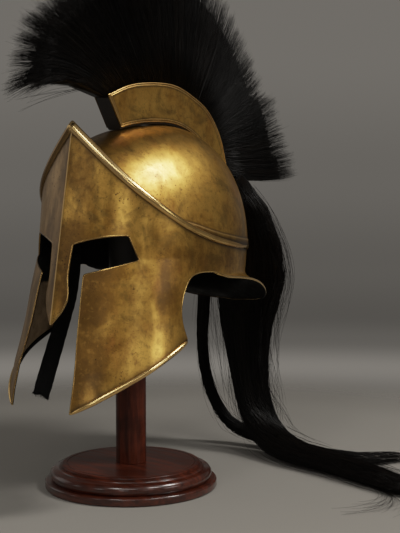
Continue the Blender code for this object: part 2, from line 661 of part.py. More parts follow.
def chin_strap(leather, brass, steps=14):
    """A flat strap: its middle line drawn smooth, its width turned a little as it falls."""
    z = np.array(STRAP["z"][::-1])
    at = np.linspace(z[0], z[-1], steps)[::-1]
    x, y, turn = (curve(at, z, STRAP[k][::-1]) for k in ("x", "y", "turn"))
    path = np.stack([x, y, at], -1)
    tangent = unit(np.gradient(path, axis=0))
    turn = np.radians(turn)
    wide = np.stack([np.cos(turn), np.sin(turn), 0 * turn], -1)
    wide = unit(wide - (wide * tangent).sum(1, keepdims=True) * tangent) * STRAP_WIDTH / 2
    flat = unit(np.cross(tangent, wide)) * STRAP_THICK / 2
    rings = np.stack([path + wide + flat, path - wide + flat, path - wide - flat, path + wide - flat], 1)
    add_tube("chin_strap", rings, leather)
    face = path[1] + [STRAP_THICK / 2 + 5 * GAP, 0, 0]
    dome = ((0.0, 1.0), (0.5, 0.85), (0.85, 0.5), (1.0, 0.15), (1.0, 0.0), (0.0, 0.0))
    profile = [(r * RIVET_R, h * RIVET_HEIGHT) for r, h in dome]
    add_turned("strap_rivet", profile, brass, tuple(face), (0.0, pi / 2, 0.0))


# ---------------------------------------------------------------- the stand


def stand(wood, black_wood):
    step = 0.0022  # height of the small step between the tier and the disc
    tier_z = PLINTH_H + TIER_H / 2 - step / 2
    base = [(0.0, DISC_Z), (DISC_R - 0.003, DISC_Z)]
    base += round_corner((DISC_R - 0.0015, DISC_Z - 0.0015), 0.0015, 90, 0, 4)
    base += [(DISC_R + 0.0002, DISC_Z - 0.0030), (DISC_R + 0.0035, DISC_Z - 0.0042)]
    base += round_corner((TIER_R - 0.0068, tier_z), 0.0068, 70, -55, 8)
    base += [(TIER_R - 0.0045, PLINTH_H)]
    base += round_corner((PLINTH_R - 0.0020, PLINTH_H - 0.0020), 0.0020, 90, 0, 4)
    base += round_corner((PLINTH_R - 0.0020, 0.0020), 0.0020, 0, -90, 4)
    base += [(0.0, 0.0)]
    add_turned("stand_base", base, wood)
    post_top = SLEEVE_Z - GAP
    post = [(0.0, post_top), (POST_R, post_top), (POST_R, DISC_Z + GAP), (0.0, DISC_Z + GAP)]
    add_turned("stand_post", post, wood)
    head = [(0.0, HEAD_TOP_Z)]
    for t in np.linspace(0.25, pi / 2, 7):
        head.append((HEAD_R * sin(t), HEAD_TOP_Z - 0.6 * HEAD_H * (1 - cos(t))))
    head += [(HEAD_R, HEAD_TOP_Z - 0.85 * HEAD_H), (0.85 * HEAD_R, HEAD_TOP_Z - HEAD_H)]
    head += [(SLEEVE_R, HEAD_TOP_Z - HEAD_H), (SLEEVE_R, SLEEVE_Z), (0.0, SLEEVE_Z)]
    add_turned("stand_head", head, black_wood)


def main():
    for old in list(bpy.data.objects):
        bpy.data.objects.remove(old, do_unlink=True)
    brass = finish("patinated_brass", (0.45, 0.30, 0.10), 0.38, 1.0)
    bright = finish("polished_brass", (0.72, 0.55, 0.26), 0.25, 1.0)
    mahogany = finish("dark_mahogany", (0.10, 0.025, 0.014), 0.22, 0.0)
    black_wood = finish("black_wood", (0.012, 0.011, 0.010), 0.5, 0.0)
    hair = finish("black_horsehair", (0.010, 0.010, 0.012), 0.45, 0.0)
    leather = finish("black_leather", (0.014, 0.013, 0.012), 0.6, 0.0)
    stand(mahogany, black_wood)
    skull_bowl(brass)
    face_guard(brass)
    neck_guard(brass)
    brow_roll(bright)
    cheek_rim(1, "cheek_rim_left", bright)
    cheek_rim(-1, "cheek_rim_right", bright)
    neck_rim(bright)
    crest_holder(black_wood, brass)
    crest_hair(hair)
    falling_hair("tail_hair", TAIL, hair)
    falling_hair("tail_lock", LOCK, hair)
    chin_strap(leather, brass)


main()
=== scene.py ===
"""The finish of a crested bronze helmet of the Corinthian kind on a turned wooden stand.

Metres, +Z up, the helmet faces -Y and +X is the wearer's left. The helmet's wall is a flat
pattern bent round a plan outline: "along" is the distance round it from the front crease,
z is the height, and "out" is how far a point stands off the plain wall.
"""

from math import pi, radians

import bpy
import numpy as np
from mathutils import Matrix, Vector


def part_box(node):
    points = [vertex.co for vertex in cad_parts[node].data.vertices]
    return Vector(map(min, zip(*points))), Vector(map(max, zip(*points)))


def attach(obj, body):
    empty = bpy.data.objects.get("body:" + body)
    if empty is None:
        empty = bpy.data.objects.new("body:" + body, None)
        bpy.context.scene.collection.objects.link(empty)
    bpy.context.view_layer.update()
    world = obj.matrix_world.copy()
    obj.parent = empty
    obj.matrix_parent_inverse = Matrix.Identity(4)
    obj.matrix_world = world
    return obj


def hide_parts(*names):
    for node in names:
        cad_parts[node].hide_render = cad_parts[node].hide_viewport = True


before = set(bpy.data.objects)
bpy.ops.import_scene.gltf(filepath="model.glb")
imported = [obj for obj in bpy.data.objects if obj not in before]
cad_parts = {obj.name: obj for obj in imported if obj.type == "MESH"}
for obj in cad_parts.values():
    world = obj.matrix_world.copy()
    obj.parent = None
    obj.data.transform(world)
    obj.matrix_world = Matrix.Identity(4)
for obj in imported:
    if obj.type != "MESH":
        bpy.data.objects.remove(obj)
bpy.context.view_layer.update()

dice = np.random.default_rng(480)

# ---------------------------------------------------------------- sizes

BASE_HIGH = np.array(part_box("stand_base")[1])
POST_LOW, POST_HIGH = (np.array(v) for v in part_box("stand_post"))
HEAD_LOW, HEAD_HIGH = (np.array(v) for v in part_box("stand_head"))
RIVET_LOW, RIVET_HIGH = (np.array(v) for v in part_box("strap_rivet"))

# The wall's plan outline: a folded prow in front, a full half oval behind
HALF_WIDTH = 0.095
WIDEST_Y = 0.025
NAPE_Y = 0.1575
BACK_FULLNESS = 2.1
SWEEP = radians(18.0)
FRONT_REACH, SIDE_REACH = 0.088, 0.068
PEAK_Y, PEAK_Z = -0.088, 0.391
NOSE_Y, NOSE_Z = -0.122, 0.188
CREASE_ROUND = 0.0008
WALL = 0.002

# The skull bowl: half ovals in plan on one centre, a rounded profile
BOWL_Y = 0.0435
BOWL_HALF_WIDTH = 0.094
BOWL_FRONT, BOWL_BACK = 0.182, 0.1135
BOWL_FOOT_Z, BOWL_TOP_Z = 0.262, 0.3945
BOWL_RISE, BOWL_ROUND = 2.06, 2.19
BOWL_WALL = 0.0018
LIP_STARTS, LIP_FULL = 0.105, 0.170  # along: where the bowl's doubled foot comes clear of the roll
LIP_WIDTH, LIP_HEIGHT = 0.0056, 0.0009

FLARE = {"z": [0.100, 0.120, 0.145, 0.170, 0.190, 0.222, 0.255, 0.400],
         "out": [0.0180, 0.0175, 0.0150, 0.0105, 0.0075, 0.0045, 0.0, 0.0]}
FLARE_STARTS, FLARE_FULL = 0.019, 0.031
FLARE_FADES, FLARE_ENDS = 0.095, 0.185

ROLL = {"along": [0.0, 0.0228, 0.0590, 0.0937, 0.1420, 0.1813, 0.2320, 0.2900, 0.3700],
        "z": [0.3890, 0.3700, 0.3405, 0.3155, 0.2880, 0.2740, 0.2645, 0.2595, 0.2575]}
ROLL_FRONT_R, ROLL_BACK_R = 0.0050, 0.0036
ROLL_SET_IN = 0.0012

# The flat pattern of the openings and edges: (along, z)
EYE_INNER_TOP, EYE_OUTER_TOP = (0.0150, 0.2700), (0.0737, 0.2790)
EYE_OUTER_LOW, CHEEK_CORNER = (0.0869, 0.2535), (0.0315, 0.2393)
EYE_ARCH = 0.0025
NASAL = {"z": [0.1880, 0.1935, 0.2030, 0.2110, 0.2365, 0.2700],
         "along": [0.0, 0.0045, 0.0113, 0.0148, 0.0133, 0.0150]}
CHEEK_FRONT = {"z": [0.1050, 0.1285, 0.1485, 0.1760, 0.2393],
               "along": [0.0354, 0.0359, 0.0356, 0.0338, 0.0315]}
CHEEK_RIM = {"along": [0.0354, 0.0590, 0.0895, 0.1134, 0.1399],
             "z": [0.1040, 0.1190, 0.1395, 0.1550, 0.1690]}
NOTCH = {"z": [0.1700, 0.1865, 0.2025, 0.2120, 0.2200, 0.2285],
         "along": [0.1399, 0.1343, 0.1330, 0.1346, 0.1375, 0.1418]}
NOTCH_TOP = {"along": [0.1418, 0.1477, 0.1553, 0.1632, 0.1834],
             "z": [0.2285, 0.2345, 0.2377, 0.2388, 0.2385]}
CHEEK_RIM_R = 0.0030
RIM_MIDDLE = (0.0895, 0.1405)  # where the cheek's two patches meet on the rim
TEMPLE_Z = 0.2520  # and where the temple's two patches meet at the notch

NECK = {"along": [0.1834, 0.2040, 0.2340, 0.2580, 0.2790, 0.2980, 0.3170, 0.3700],
        "edge_z": [0.2385, 0.2330, 0.2295, 0.2255, 0.2190, 0.2100, 0.2000, 0.1910],
        "out": [0.0, 0.0015, 0.0055, 0.0105, 0.0160, 0.0215, 0.0260, 0.0290]}
NECK_STARTS = NECK["along"][0]
NECK_SLOPE, NECK_BEND = 0.45, 0.008
NECK_LEAN, NECK_LEAN_RUN = 0.0020, 0.050
# Brown marks that keep their place on the sheet, partly tarnish and partly painted shade: round, up,
# its reach both ways, how brown it is (below zero it is made lighter: a painted highlight)
STAINS_AND_PAINTED_LIGHT = (
    (0.006, 0.250, 0.022, 0.050, 0.8),
    (0.034, 0.205, 0.029, 0.070, 1.9),
    (0.055, 0.250, 0.030, 0.016, 0.8),
    (0.050, 0.142, 0.028, 0.030, 1.1),
    (0.064, 0.302, 0.014, 0.020, -0.5),
    # on the cheek: painted highlights below zero, and between them painted shade over the side light's
    # streak
    (0.088, 0.195, 0.015, 0.038, -0.4),
    (0.114, 0.222, 0.016, 0.030, 1.5),
    (0.098, 0.165, 0.022, 0.014, -0.8),
    (0.150, 0.255, 0.040, 0.014, 0.7),
    (0.210, 0.250, 0.050, 0.020, 0.8),
)
EDGE_R, FLANGE_R = 0.0011, 0.0016  # bright rounded edges of the openings and the flange

CREST = {"turn": [-19.4, -10.0, 0.0, 20.0, 30.0, 40.0, 56.6],
         "y": [-0.0447, -0.0080, 0.0400, 0.0995, 0.1235, 0.1425, 0.1605],
         "z": [0.4236, 0.4360, 0.4405, 0.4265, 0.4125, 0.3895, 0.3430]}
CORE_HALF, CORE_SUNK = 0.0090, 0.0030
PLATE, PLATE_LIFT, PLATE_GAP = 0.0013, 0.0030, 0.0003

INSIDE_TONE = 0.25  # how light the dense inside of the hair is: 0 to 1
CREST_HAIR_R, LOCK_HAIR_R, LOOSE_HAIR_R = (0.00020, 0.00032), 0.00034, (0.00012, 0.00020)

# The standing hair: tips, the rise of the hair between, and where it is cut shorter
HAIR = {"turn": [-19.4, -15.0, -10.0, -3.0, 6.0, 20.0, 30.0, 40.0, 49.0, 56.6],
        "y": [-0.164, -0.146, -0.108, -0.053, 0.028, 0.138, 0.194, 0.241, 0.281, 0.292],
        "z": [0.423, 0.478, 0.518, 0.564, 0.590, 0.547, 0.492, 0.438, 0.381, 0.338],
        "bow": [0.013, 0.008, 0.004, 0.0, 0.0, 0.0, 0.0, -0.002, -0.004, -0.006]}
TUFTS = {"turn": [-19.4, -8.0, 20.0, 30.0, 38.6, 40.0, 44.0, 50.6, 51.8, 56.6],
         "short": [0.0, 0.0, 0.01, 0.04, 0.12, 0.0, 0.03, 0.10, 0.0, 0.0]}
TUFT_EDGES = np.cumsum(np.concatenate([[-20.0], dice.uniform(0.9, 2.4, 52)]))
TUFT_REACH = dice.normal(0, 0.012, 52)
TUFT_TONE = dice.normal(0, 0.22, 52)
BRUSH = {"share": [0.0, 0.30, 0.70, 1.0], "half": [0.0080, 0.0112, 0.0152, 0.0165]}

# Hair that falls: centre line, half width, half thickness, compass turn of the width
TAIL = (
    # x, y, z, width, thick, turn
    (0.008, 0.1720, 0.3330, 0.018, 0.009, 0),
    (0.015, 0.1800, 0.3180, 0.022, 0.011, 0),
    (0.020, 0.1900, 0.2960, 0.028, 0.012, 0),
    (0.014, 0.2050, 0.2620, 0.040, 0.013, 0),
    (0.004, 0.2160, 0.2250, 0.048, 0.015, 0),
    (-0.006, 0.2200, 0.1850, 0.045, 0.016, 0),
    (-0.003, 0.2190, 0.1250, 0.030, 0.016, 0),
    (0.007, 0.2160, 0.0710, 0.022, 0.016, 10),
    (0.021, 0.2130, 0.0405, 0.020, 0.016, 35),
    (0.042, 0.2070, 0.0220, 0.021, 0.0155, 65),
    (0.072, 0.1975, 0.0150, 0.023, 0.0135, 85),
    (0.111, 0.1870, 0.0125, 0.021, 0.0115, 90),
    (0.162, 0.1795, 0.0110, 0.021, 0.0100, 90),
    (0.220, 0.1610, 0.0100, 0.019, 0.0088, 80),
    (0.265, 0.1490, 0.0078, 0.014, 0.0066, 75),
    (0.300, 0.1445, 0.0050, 0.005, 0.0036, 75),
)
LOCK = (
    (-0.0180, 0.1660, 0.3270, 0.003, 0.003, 0),
    (-0.0270, 0.1770, 0.3040, 0.004, 0.004, 0),
    (-0.0420, 0.1920, 0.2700, 0.005, 0.005, 0),
    (-0.0570, 0.2030, 0.2350, 0.006, 0.006, 0),
    (-0.0655, 0.2110, 0.1850, 0.007, 0.007, 0),
    (-0.0700, 0.2130, 0.1440, 0.007, 0.007, 0),
    (-0.0667, 0.2150, 0.0937, 0.0065, 0.0065, 0),
    (-0.0571, 0.2210, 0.0567, 0.006, 0.006, 20),
    (-0.0398, 0.2330, 0.0256, 0.007, 0.006, 50),
    (0.0065, 0.2375, 0.0125, 0.009, 0.0075, 80),
    (0.0480, 0.2390, 0.0090, 0.010, 0.0075, 90),
    (0.1175, 0.2235, 0.0080, 0.010, 0.0070, 90),
    (0.1567, 0.2375, 0.0075, 0.010, 0.0065, 105),
    (0.1776, 0.2805, 0.0062, 0.009, 0.0052, 110),
    (0.2087, 0.2950, 0.0042, 0.004, 0.0030, 115),
)
FLOOR_CLEAR = 0.0006

STRAP = {"x": [-0.0903, -0.0892, -0.0875, -0.0855, -0.0830, -0.0800],
         "y": [0.0060, 0.0040, -0.0050, -0.0220, -0.0400, -0.0590],
         "z": [0.2620, 0.2400, 0.2050, 0.1700, 0.1350, 0.0980],
         "turn": [90.0, 88.0, 82.0, 76.0, 70.0, 66.0]}
STRAP_WIDTH, STRAP_THICK = 0.020, 0.0024

# ---------------------------------------------------------------- numbers and meshes


def curve(x, xs, ys):
    """A smooth curve through the points (xs, ys), read at x: Hermite pieces."""
    xs, ys, x = (np.asarray(v, float) for v in (xs, ys, x))
    slope = np.gradient(ys, xs)
    i = np.clip(np.searchsorted(xs, x) - 1, 0, len(xs) - 2)
    h = xs[i + 1] - xs[i]
    t = np.clip((x - xs[i]) / h, 0.0, 1.0)
    return (
        (2 * t**3 - 3 * t**2 + 1) * ys[i] + (t**3 - 2 * t**2 + t) * h * slope[i]
        + (3 * t**2 - 2 * t**3) * ys[i + 1] + (t**3 - t**2) * h * slope[i + 1]
    )


def ease(x):
    """0 to 1 with flat ends."""
    x = np.clip(x, 0.0, 1.0)
    return x * x * (3 - 2 * x)


def unit(v):
    """Vectors scaled to length 1."""
    return v / np.maximum(np.linalg.norm(v, axis=-1, keepdims=True), 1e-12)


def waves(x, seed, count=6, low=1.0, high=6.0):
    """Smooth one-dimensional noise: a sum of sines of random pitch and phase, about -1 to 1."""
    own = np.random.default_rng(seed)
    pitch, phase = own.uniform(low, high, count), own.uniform(0, 2 * pi, count)
    return np.sin(np.asarray(x)[..., None] * pitch + phase).sum(-1) / count**0.5


def grid_quads(rows, columns, wrap_rows=False, wrap_columns=False):
    """Quads of a rows x columns grid, whose normal is (along columns) x (along rows)."""
    r = np.arange(rows if wrap_rows else rows - 1)[:, None]
    c = np.arange(columns if wrap_columns else columns - 1)[None, :]
    r1, c1 = (r + 1) % rows, (c + 1) % columns
    quads = np.stack([r * columns + c, r * columns + c1, r1 * columns + c1, r1 * columns + c], -1)
    return quads.reshape(-1, 4)


def fan(centre, ring):
    """Triangles from one point to a closed ring of points."""
    return np.stack([np.full(len(ring), centre), ring, np.roll(ring, -1)], -1)


def closed_rings(rings, ends, lathe=False):
    """Rings of points joined into a closed form whose two ends are fans to the given points.

    lathe is for rings that run down an axis, where the faces have to turn the other way.
    """
    rows, columns = rings.shape[:2]
    n = rows * columns
    ring = np.arange(columns)
    quads = grid_quads(rows, columns, wrap_columns=True)
    first, last = (ring, ring[::-1]) if lathe else (ring[::-1], ring)
    caps = np.concatenate([fan(n, first), fan(n + 1, n - columns + last)])
    verts = np.concatenate([rings.reshape(-1, 3), ends])
    return verts, [quads[:, ::-1] if lathe else quads, caps]


def round_angles(count):
    """Angles at even steps once round."""
    return np.arange(count) / count * 2 * pi


def run_along(points):
    """The distance along a polyline at each of its points."""
    return np.concatenate([[0.0], np.cumsum(np.linalg.norm(np.diff(points, axis=0), axis=1))])


def mirrored(half):
    """A left half pattern and its mirror as one run, from one end to the other."""
    return np.concatenate([half, half[-2::-1] * [-1, 1, 1]])


def ridge(distance, at, width):
    """A smooth ridge of height 1 at a distance, as a bell curve."""
    return np.exp(-(((distance - at) / width) ** 2))


def square_round(angle, power):
    """Cosine and sine of an angle, swelled so that a circle becomes a rounded box."""
    across, up = np.cos(angle), np.sin(angle)
    return np.sign(across) * np.abs(across) ** power, np.sign(up) * np.abs(up) ** power


def make_piece(name, verts, faces, materials, slot, stands_for=(), slots=None, sharp=None, **marks):
    """A mesh from arrays, riding on the object's one body.

    faces is a list of index arrays, each of one face size; slots gives each face's material;
    marks are values at the points, which materials read by name.
    """
    mesh = bpy.data.meshes.new(name)
    verts = np.asarray(verts, np.float32).reshape(-1, 3)
    faces = [np.asarray(f) for f in faces if len(f)]
    size = np.concatenate([np.full(len(f), f.shape[1]) for f in faces])
    corner = np.concatenate([f.ravel() for f in faces])
    mesh.vertices.add(len(verts))
    mesh.vertices.foreach_set("co", verts.ravel())
    mesh.loops.add(len(corner))
    mesh.loops.foreach_set("vertex_index", corner.astype(np.int32))
    mesh.polygons.add(len(size))
    mesh.polygons.foreach_set("loop_start", np.concatenate([[0], np.cumsum(size)[:-1]]).astype(np.int32))
    for material in materials:
        mesh.materials.append(material)
    if slots is not None:
        mesh.polygons.foreach_set("material_index", np.asarray(slots, np.int32))
    for mark, value in marks.items():
        held = mesh.attributes.new(mark, "FLOAT", "POINT")
        held.data.foreach_set("value", np.asarray(value, np.float32).ravel())
    mesh.update(calc_edges=True)
    mesh.validate()
    mesh.shade_smooth()
    if sharp:
        mesh.set_sharp_from_angle(angle=radians(sharp))
    piece = bpy.data.objects.new(name, mesh)
    bpy.context.scene.collection.objects.link(piece)
    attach(piece, "root")
    if stands_for:
        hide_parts(*stands_for)
    return piece


def tube(path, radius, outs, around=12, closed=False):
    """A circle carried along a path: rings in the plane across it, outs pointing outward.

    Open ends close on a point.
    """
    if closed:
        tangent = unit(np.roll(path, -1, 0) - np.roll(path, 1, 0))
    else:
        tangent = unit(np.gradient(path, axis=0))
    side = unit(outs - (outs * tangent).sum(1, keepdims=True) * tangent)
    other = np.cross(tangent, side)
    t = round_angles(around)
    radius = np.broadcast_to(radius, len(path)).reshape(-1, 1, 1)
    spoke = side[:, None] * np.cos(t)[None, :, None] + other[:, None] * np.sin(t)[None, :, None]
    rings = path[:, None] + radius * spoke
    if closed:
        return rings.reshape(-1, 3), [grid_quads(len(path), around, wrap_rows=True, wrap_columns=True)]
    return closed_rings(rings, path[[0, -1]])


def turned(profile, around=180):
    """A lathe form: the profile (radius, z), top to bottom, spun round Z; its ends on the axis."""
    profile = np.asarray(profile, float)
    t = round_angles(around)
    ring = np.stack([np.cos(t), np.sin(t)], -1)
    inner = profile[1:-1]
    level = inner[:, None, :1] * ring[None]
    rings = np.concatenate([level, np.broadcast_to(inner[:, None, 1:], level.shape[:2] + (1,))], -1)
    return closed_rings(rings, [[0, 0, profile[0, 1]], [0, 0, profile[-1, 1]]], lathe=True)


def arc(centre, radius, start, end, steps=9):
    """Points of an arc in (radius, z), angles in degrees from straight out."""
    t = np.radians(np.linspace(start, end, steps))
    return np.stack([centre[0] + radius * np.cos(t), centre[1] + radius * np.sin(t)], -1)


def strands(paths, radii, helper, sides=3):
    """Hairs: (count, stations, 3) centre lines as tapering prisms with closed ends."""
    count, stations = paths.shape[:2]
    tangent = unit(np.gradient(paths, axis=1))
    side = unit(np.cross(tangent, np.asarray(helper, float)))
    other = np.cross(tangent, side)
    t = round_angles(sides)
    rings = paths[:, :, None] + np.asarray(radii)[..., None, None] * (
        side[:, :, None] * np.cos(t)[:, None] + other[:, :, None] * np.sin(t)[:, None]
    )
    first = (np.arange(count) * stations * sides)[:, None, None]
    quads = (grid_quads(stations, sides, wrap_columns=True)[None] + first).reshape(-1, 4)
    root = np.arange(sides)[::-1][None, None]
    tip = (stations - 1) * sides + np.arange(sides)[None, None]
    caps = (np.concatenate([root, tip], 1) + first).reshape(-1, sides)
    return rings.reshape(-1, 3), [quads, caps]


# ---------------------------------------------------------------- the helmet's form


def crease_y(z):
    """The front crease: a straight line that comes forward from the peak down to the nose."""
    return PEAK_Y + (NOSE_Y - PEAK_Y) * (PEAK_Z - z) / (PEAK_Z - NOSE_Z)


def plan(share, z):
    """The wall in plan at height z: 0 is the crease, 1 the widest point, 2 the nape.

    In front it is a cubic Bezier from the crease to the side, behind a fuller half oval.
    """
    share = np.asarray(share, float)
    z = np.asarray(z, float) + 0 * share
    f = np.clip(share, 0, 1)
    weights = ((1 - f) ** 3, 3 * f * (1 - f) ** 2, 3 * f**2 * (1 - f), f**3)
    xs = (0.0, FRONT_REACH * np.cos(SWEEP), HALF_WIDTH, HALF_WIDTH)
    ys = (crease_y(z), crease_y(z) + FRONT_REACH * np.sin(SWEEP), WIDEST_Y - SIDE_REACH, WIDEST_Y)
    x = sum(w * v for w, v in zip(weights, xs))
    y = sum(w * v for w, v in zip(weights, ys))
    y = y + np.tan(SWEEP) * (np.hypot(x, CREASE_ROUND) - np.abs(x))
    t = np.clip(share - 1, 0, 1) * pi / 2
    back_x = HALF_WIDTH * np.abs(np.cos(t)) ** (2 / BACK_FULLNESS)
    back_y = WIDEST_Y + (NAPE_Y - WIDEST_Y) * np.abs(np.sin(t)) ** (2 / BACK_FULLNESS)
    return np.where(share <= 1, x, back_x), np.where(share <= 1, y, back_y)


MEASURED_Z = 0.25
SHARES = np.linspace(0, 2, 4001)
ALONG = np.concatenate([[0.0], np.cumsum(np.hypot(*(np.diff(v) for v in plan(SHARES, MEASURED_Z))))])
SIDE = float(np.interp(1.0, SHARES, ALONG))
BACK = float(ALONG[-1])


def outward(along, z):
    """The wall's outward direction in plan, for either half."""
    step = 0.0005
    a = np.abs(along)
    x0, y0 = plan(np.interp(np.maximum(a - step, 0), ALONG, SHARES), z)
    x1, y1 = plan(np.interp(np.minimum(a + step, BACK), ALONG, SHARES), z)
    out = unit(np.stack([y1 - y0, x0 - x1, 0 * x0], -1))
    out[..., 0] *= np.where(along < 0, -1.0, 1.0)
    return out


def wall(along, z, out=0.0):
    """A point of the wall's outer face, moved outward by out. Minus is the right half."""
    along, z = np.broadcast_arrays(np.asarray(along, float), np.asarray(z, float))
    a = np.abs(along)
    x, y = plan(np.interp(a, ALONG, SHARES), z)
    flare = np.interp(z, FLARE["z"], FLARE["out"])
    flare = flare * ease((a - FLARE_STARTS) / (FLARE_FULL - FLARE_STARTS))
    flare = flare * ease((FLARE_ENDS - a) / (FLARE_ENDS - FLARE_FADES))
    point = np.stack([x, y, z], -1) + outward(a, z) * (flare + out)[..., None]
    point[..., 0] = np.where((a < 1e-6) | (a > BACK - 1e-6), 0.0, np.maximum(point[..., 0], 0.0))
    point[..., 0] *= np.where(along < 0, -1.0, 1.0)
    return point


def roll_z(along):
    """The height of the brow roll's centre line."""
    return curve(np.abs(along), ROLL["along"], ROLL["z"])


def roll_radius(along):
    """The roll thins smoothly from the peak to the widest point."""
    return ROLL_FRONT_R + (ROLL_BACK_R - ROLL_FRONT_R) * ease(np.abs(along) / SIDE)


def sheet_top(along):
    """The wall's upper edge, sunk into the roll."""
    return roll_z(along) - 0.4 * roll_radius(along)


def roll_path(steps):
    """Centre line of the brow roll, once round from the peak."""
    half = np.linspace(0, BACK, steps)
    along = np.concatenate([half, -half[-2:0:-1]])
    return along, wall(along, roll_z(along), -ROLL_SET_IN)


def rim_z(along):
    """The height of a cheek's lower rim."""
    return curve(along, CHEEK_RIM["along"], CHEEK_RIM["z"])


def neck_pattern(along, drop):
    """The neck guard as (along, z, out): drop 0 is in the roll, 1 the flange's free edge.

    Each upright section comes straight down the wall, turns out through a quadratic bend,
    and runs straight to the edge; drop is shared out by the lengths of these three.
    """
    a, drop = np.broadcast_arrays(np.asarray(along, float), drop)
    reach = curve(a, NECK["along"], NECK["out"])
    edge_z = curve(a, NECK["along"], NECK["edge_z"])
    root_z = edge_z + NECK_SLOPE * reach
    lean = -NECK_LEAN * ease((a - SIDE) / NECK_LEAN_RUN)
    bend = np.minimum(NECK_BEND, 0.6 * reach)
    share = bend / np.maximum(reach, bend + 1e-6)
    top = np.stack([0 * a, sheet_top(a)])
    before = np.stack([lean, root_z + bend])
    corner = np.stack([lean, root_z])
    edge = np.stack([reach, edge_z])
    after = corner + (edge - corner) * share
    lengths = [np.hypot(*(q - p)) for p, q in ((top, before), (before, after), (after, edge))]
    whole = sum(lengths)
    turn_from, turn_to = lengths[0] / whole, (lengths[0] + lengths[1]) / whole
    t = np.clip((drop - turn_from) / np.maximum(turn_to - turn_from, 1e-6), 0, 1)
    upper = top + (before - top) * np.clip(drop / turn_from, 0, 1)
    bent = (1 - t) ** 2 * before + 2 * t * (1 - t) * corner + t**2 * after
    lower = after + (edge - after) * np.clip((drop - turn_to) / np.maximum(1 - turn_to, 1e-6), 0, 1)
    out, z = np.where(drop < turn_from, upper, np.where(drop < turn_to, bent, lower))
    return np.stack([a, z, out], -1)


def on_wall(pattern):
    """Pattern points (along, z, out) bent into place."""
    return wall(pattern[..., 0], pattern[..., 1], pattern[..., 2])


def flat(along, z):
    """Pattern points that lie on the plain wall."""
    along, z = np.broadcast_arrays(np.asarray(along, float), np.asarray(z, float))
    return np.stack([along, z, 0 * z], -1)


def straight(start, end, count):
    """Pattern points at even steps on a straight line."""
    t = np.linspace(0, 1, count)
    return flat(start[0] + (end[0] - start[0]) * t, start[1] + (end[1] - start[1]) * t)


def patch(top, bottom, left, right):
    """A Coons patch: the four borders blended linearly, rows running from top to bottom."""
    v = np.linspace(0, 1, len(left))[:, None, None]
    u = np.linspace(0, 1, len(top))[None, :, None]
    rows = (1 - v) * top[None] + v * bottom[None]
    columns = (1 - u) * left[:, None] + u * right[:, None]
    corners = (1 - v) * ((1 - u) * top[0] + u * top[-1]) + v * ((1 - u) * bottom[0] + u * bottom[-1])
    return rows + columns - corners


def brow_edge(count):
    """The eye's upper edge: a straight line raised by a parabola."""
    t = np.linspace(0, 1, count)
    edge = straight(EYE_INNER_TOP, EYE_OUTER_TOP, count)
    edge[:, 1] += EYE_ARCH * 4 * t * (1 - t)
    return edge


def sheet_patches():
    """The left half of the face and neck guards as patches that share their borders."""
    crease = np.array([0.0, 0.03, 0.07, 0.13, 0.22, 0.36, 0.55, 0.78, 1.0])
    tall, temple_rows, wide = 52, 14, 32
    nose_z = np.linspace(EYE_INNER_TOP[1], NOSE_Z, 38)
    half_nose = curve(nose_z, NASAL["z"], NASAL["along"])
    nasal = flat(half_nose[:, None] * crease, nose_z[:, None])

    a = crease * EYE_INNER_TOP[0]
    down = np.linspace(0, 1, tall)[:, None]
    bridge = flat(a, sheet_top(a) + (EYE_INNER_TOP[1] - sheet_top(a)) * down)

    inner, outer, notch = EYE_INNER_TOP[0], EYE_OUTER_TOP[0], NOTCH_TOP["along"][0]
    notch_z = NOTCH_TOP["z"][0]
    a = np.linspace(inner, outer, 28)
    outer_side = straight((outer, sheet_top(outer)), EYE_OUTER_TOP, tall)
    forehead = patch(flat(a, sheet_top(a)), brow_edge(28), bridge[:, -1], outer_side)

    a = np.linspace(outer, notch, wide)
    high_side = straight((notch, sheet_top(notch)), (notch, TEMPLE_Z), tall)
    temple_line = straight(EYE_OUTER_TOP, (notch, TEMPLE_Z), wide)
    temple_high = patch(flat(a, sheet_top(a)), temple_line, outer_side, high_side)

    low_side = straight((notch, TEMPLE_Z), (notch, notch_z), temple_rows)
    cheek_line = straight(EYE_OUTER_LOW, (notch, notch_z), wide)
    eye_side = straight(EYE_OUTER_TOP, EYE_OUTER_LOW, temple_rows)
    temple_low = patch(temple_line, cheek_line, eye_side, low_side)

    middle = straight(EYE_OUTER_LOW, RIM_MIDDLE, tall)
    z = np.linspace(notch_z, NOTCH["z"][0], tall)
    notch_side = flat(curve(z, NOTCH["z"], NOTCH["along"]), z)
    a = np.linspace(RIM_MIDDLE[0], CHEEK_RIM["along"][-1], wide)
    cheek_back = patch(cheek_line, flat(a, rim_z(a) + 0.001), middle, notch_side)

    a = np.linspace(CHEEK_RIM["along"][0], RIM_MIDDLE[0], 26)
    z = np.linspace(CHEEK_CORNER[1], CHEEK_FRONT["z"][0], tall)
    front_side = flat(curve(z, CHEEK_FRONT["z"], CHEEK_FRONT["along"]), z)
    eye_floor = straight(CHEEK_CORNER, EYE_OUTER_LOW, 26)
    cheek_front = patch(eye_floor, flat(a, rim_z(a) + 0.001), front_side, middle)

    side = np.concatenate([high_side[:-1], low_side])
    drop = np.linspace(0, 1, len(side))
    a = np.linspace(notch, NECK_STARTS, 19)
    over_notch = flat(a, curve(a, NOTCH_TOP["along"], NOTCH_TOP["z"]))
    seam = neck_pattern(np.full(len(drop), NECK_STARTS), drop)
    ear = patch(flat(a, sheet_top(a)), over_notch, side, seam)

    a = np.linspace(NECK_STARTS, BACK, 64)
    nape = neck_pattern(a[None, :], drop[:, None])
    return nasal, bridge, forehead, temple_high, temple_low, cheek_back, cheek_front, ear, nape


def point_normals(verts, quads):
    """Outward directions at the points: the sum of the faces' cross products there."""
    across = verts[quads[:, 2]] - verts[quads[:, 0]]
    other = verts[quads[:, 3]] - verts[quads[:, 1]]
    face = np.cross(across, other)
    total = np.zeros_like(verts)
    for k in range(4):
        np.add.at(total, quads[:, k], face)
    return unit(total)


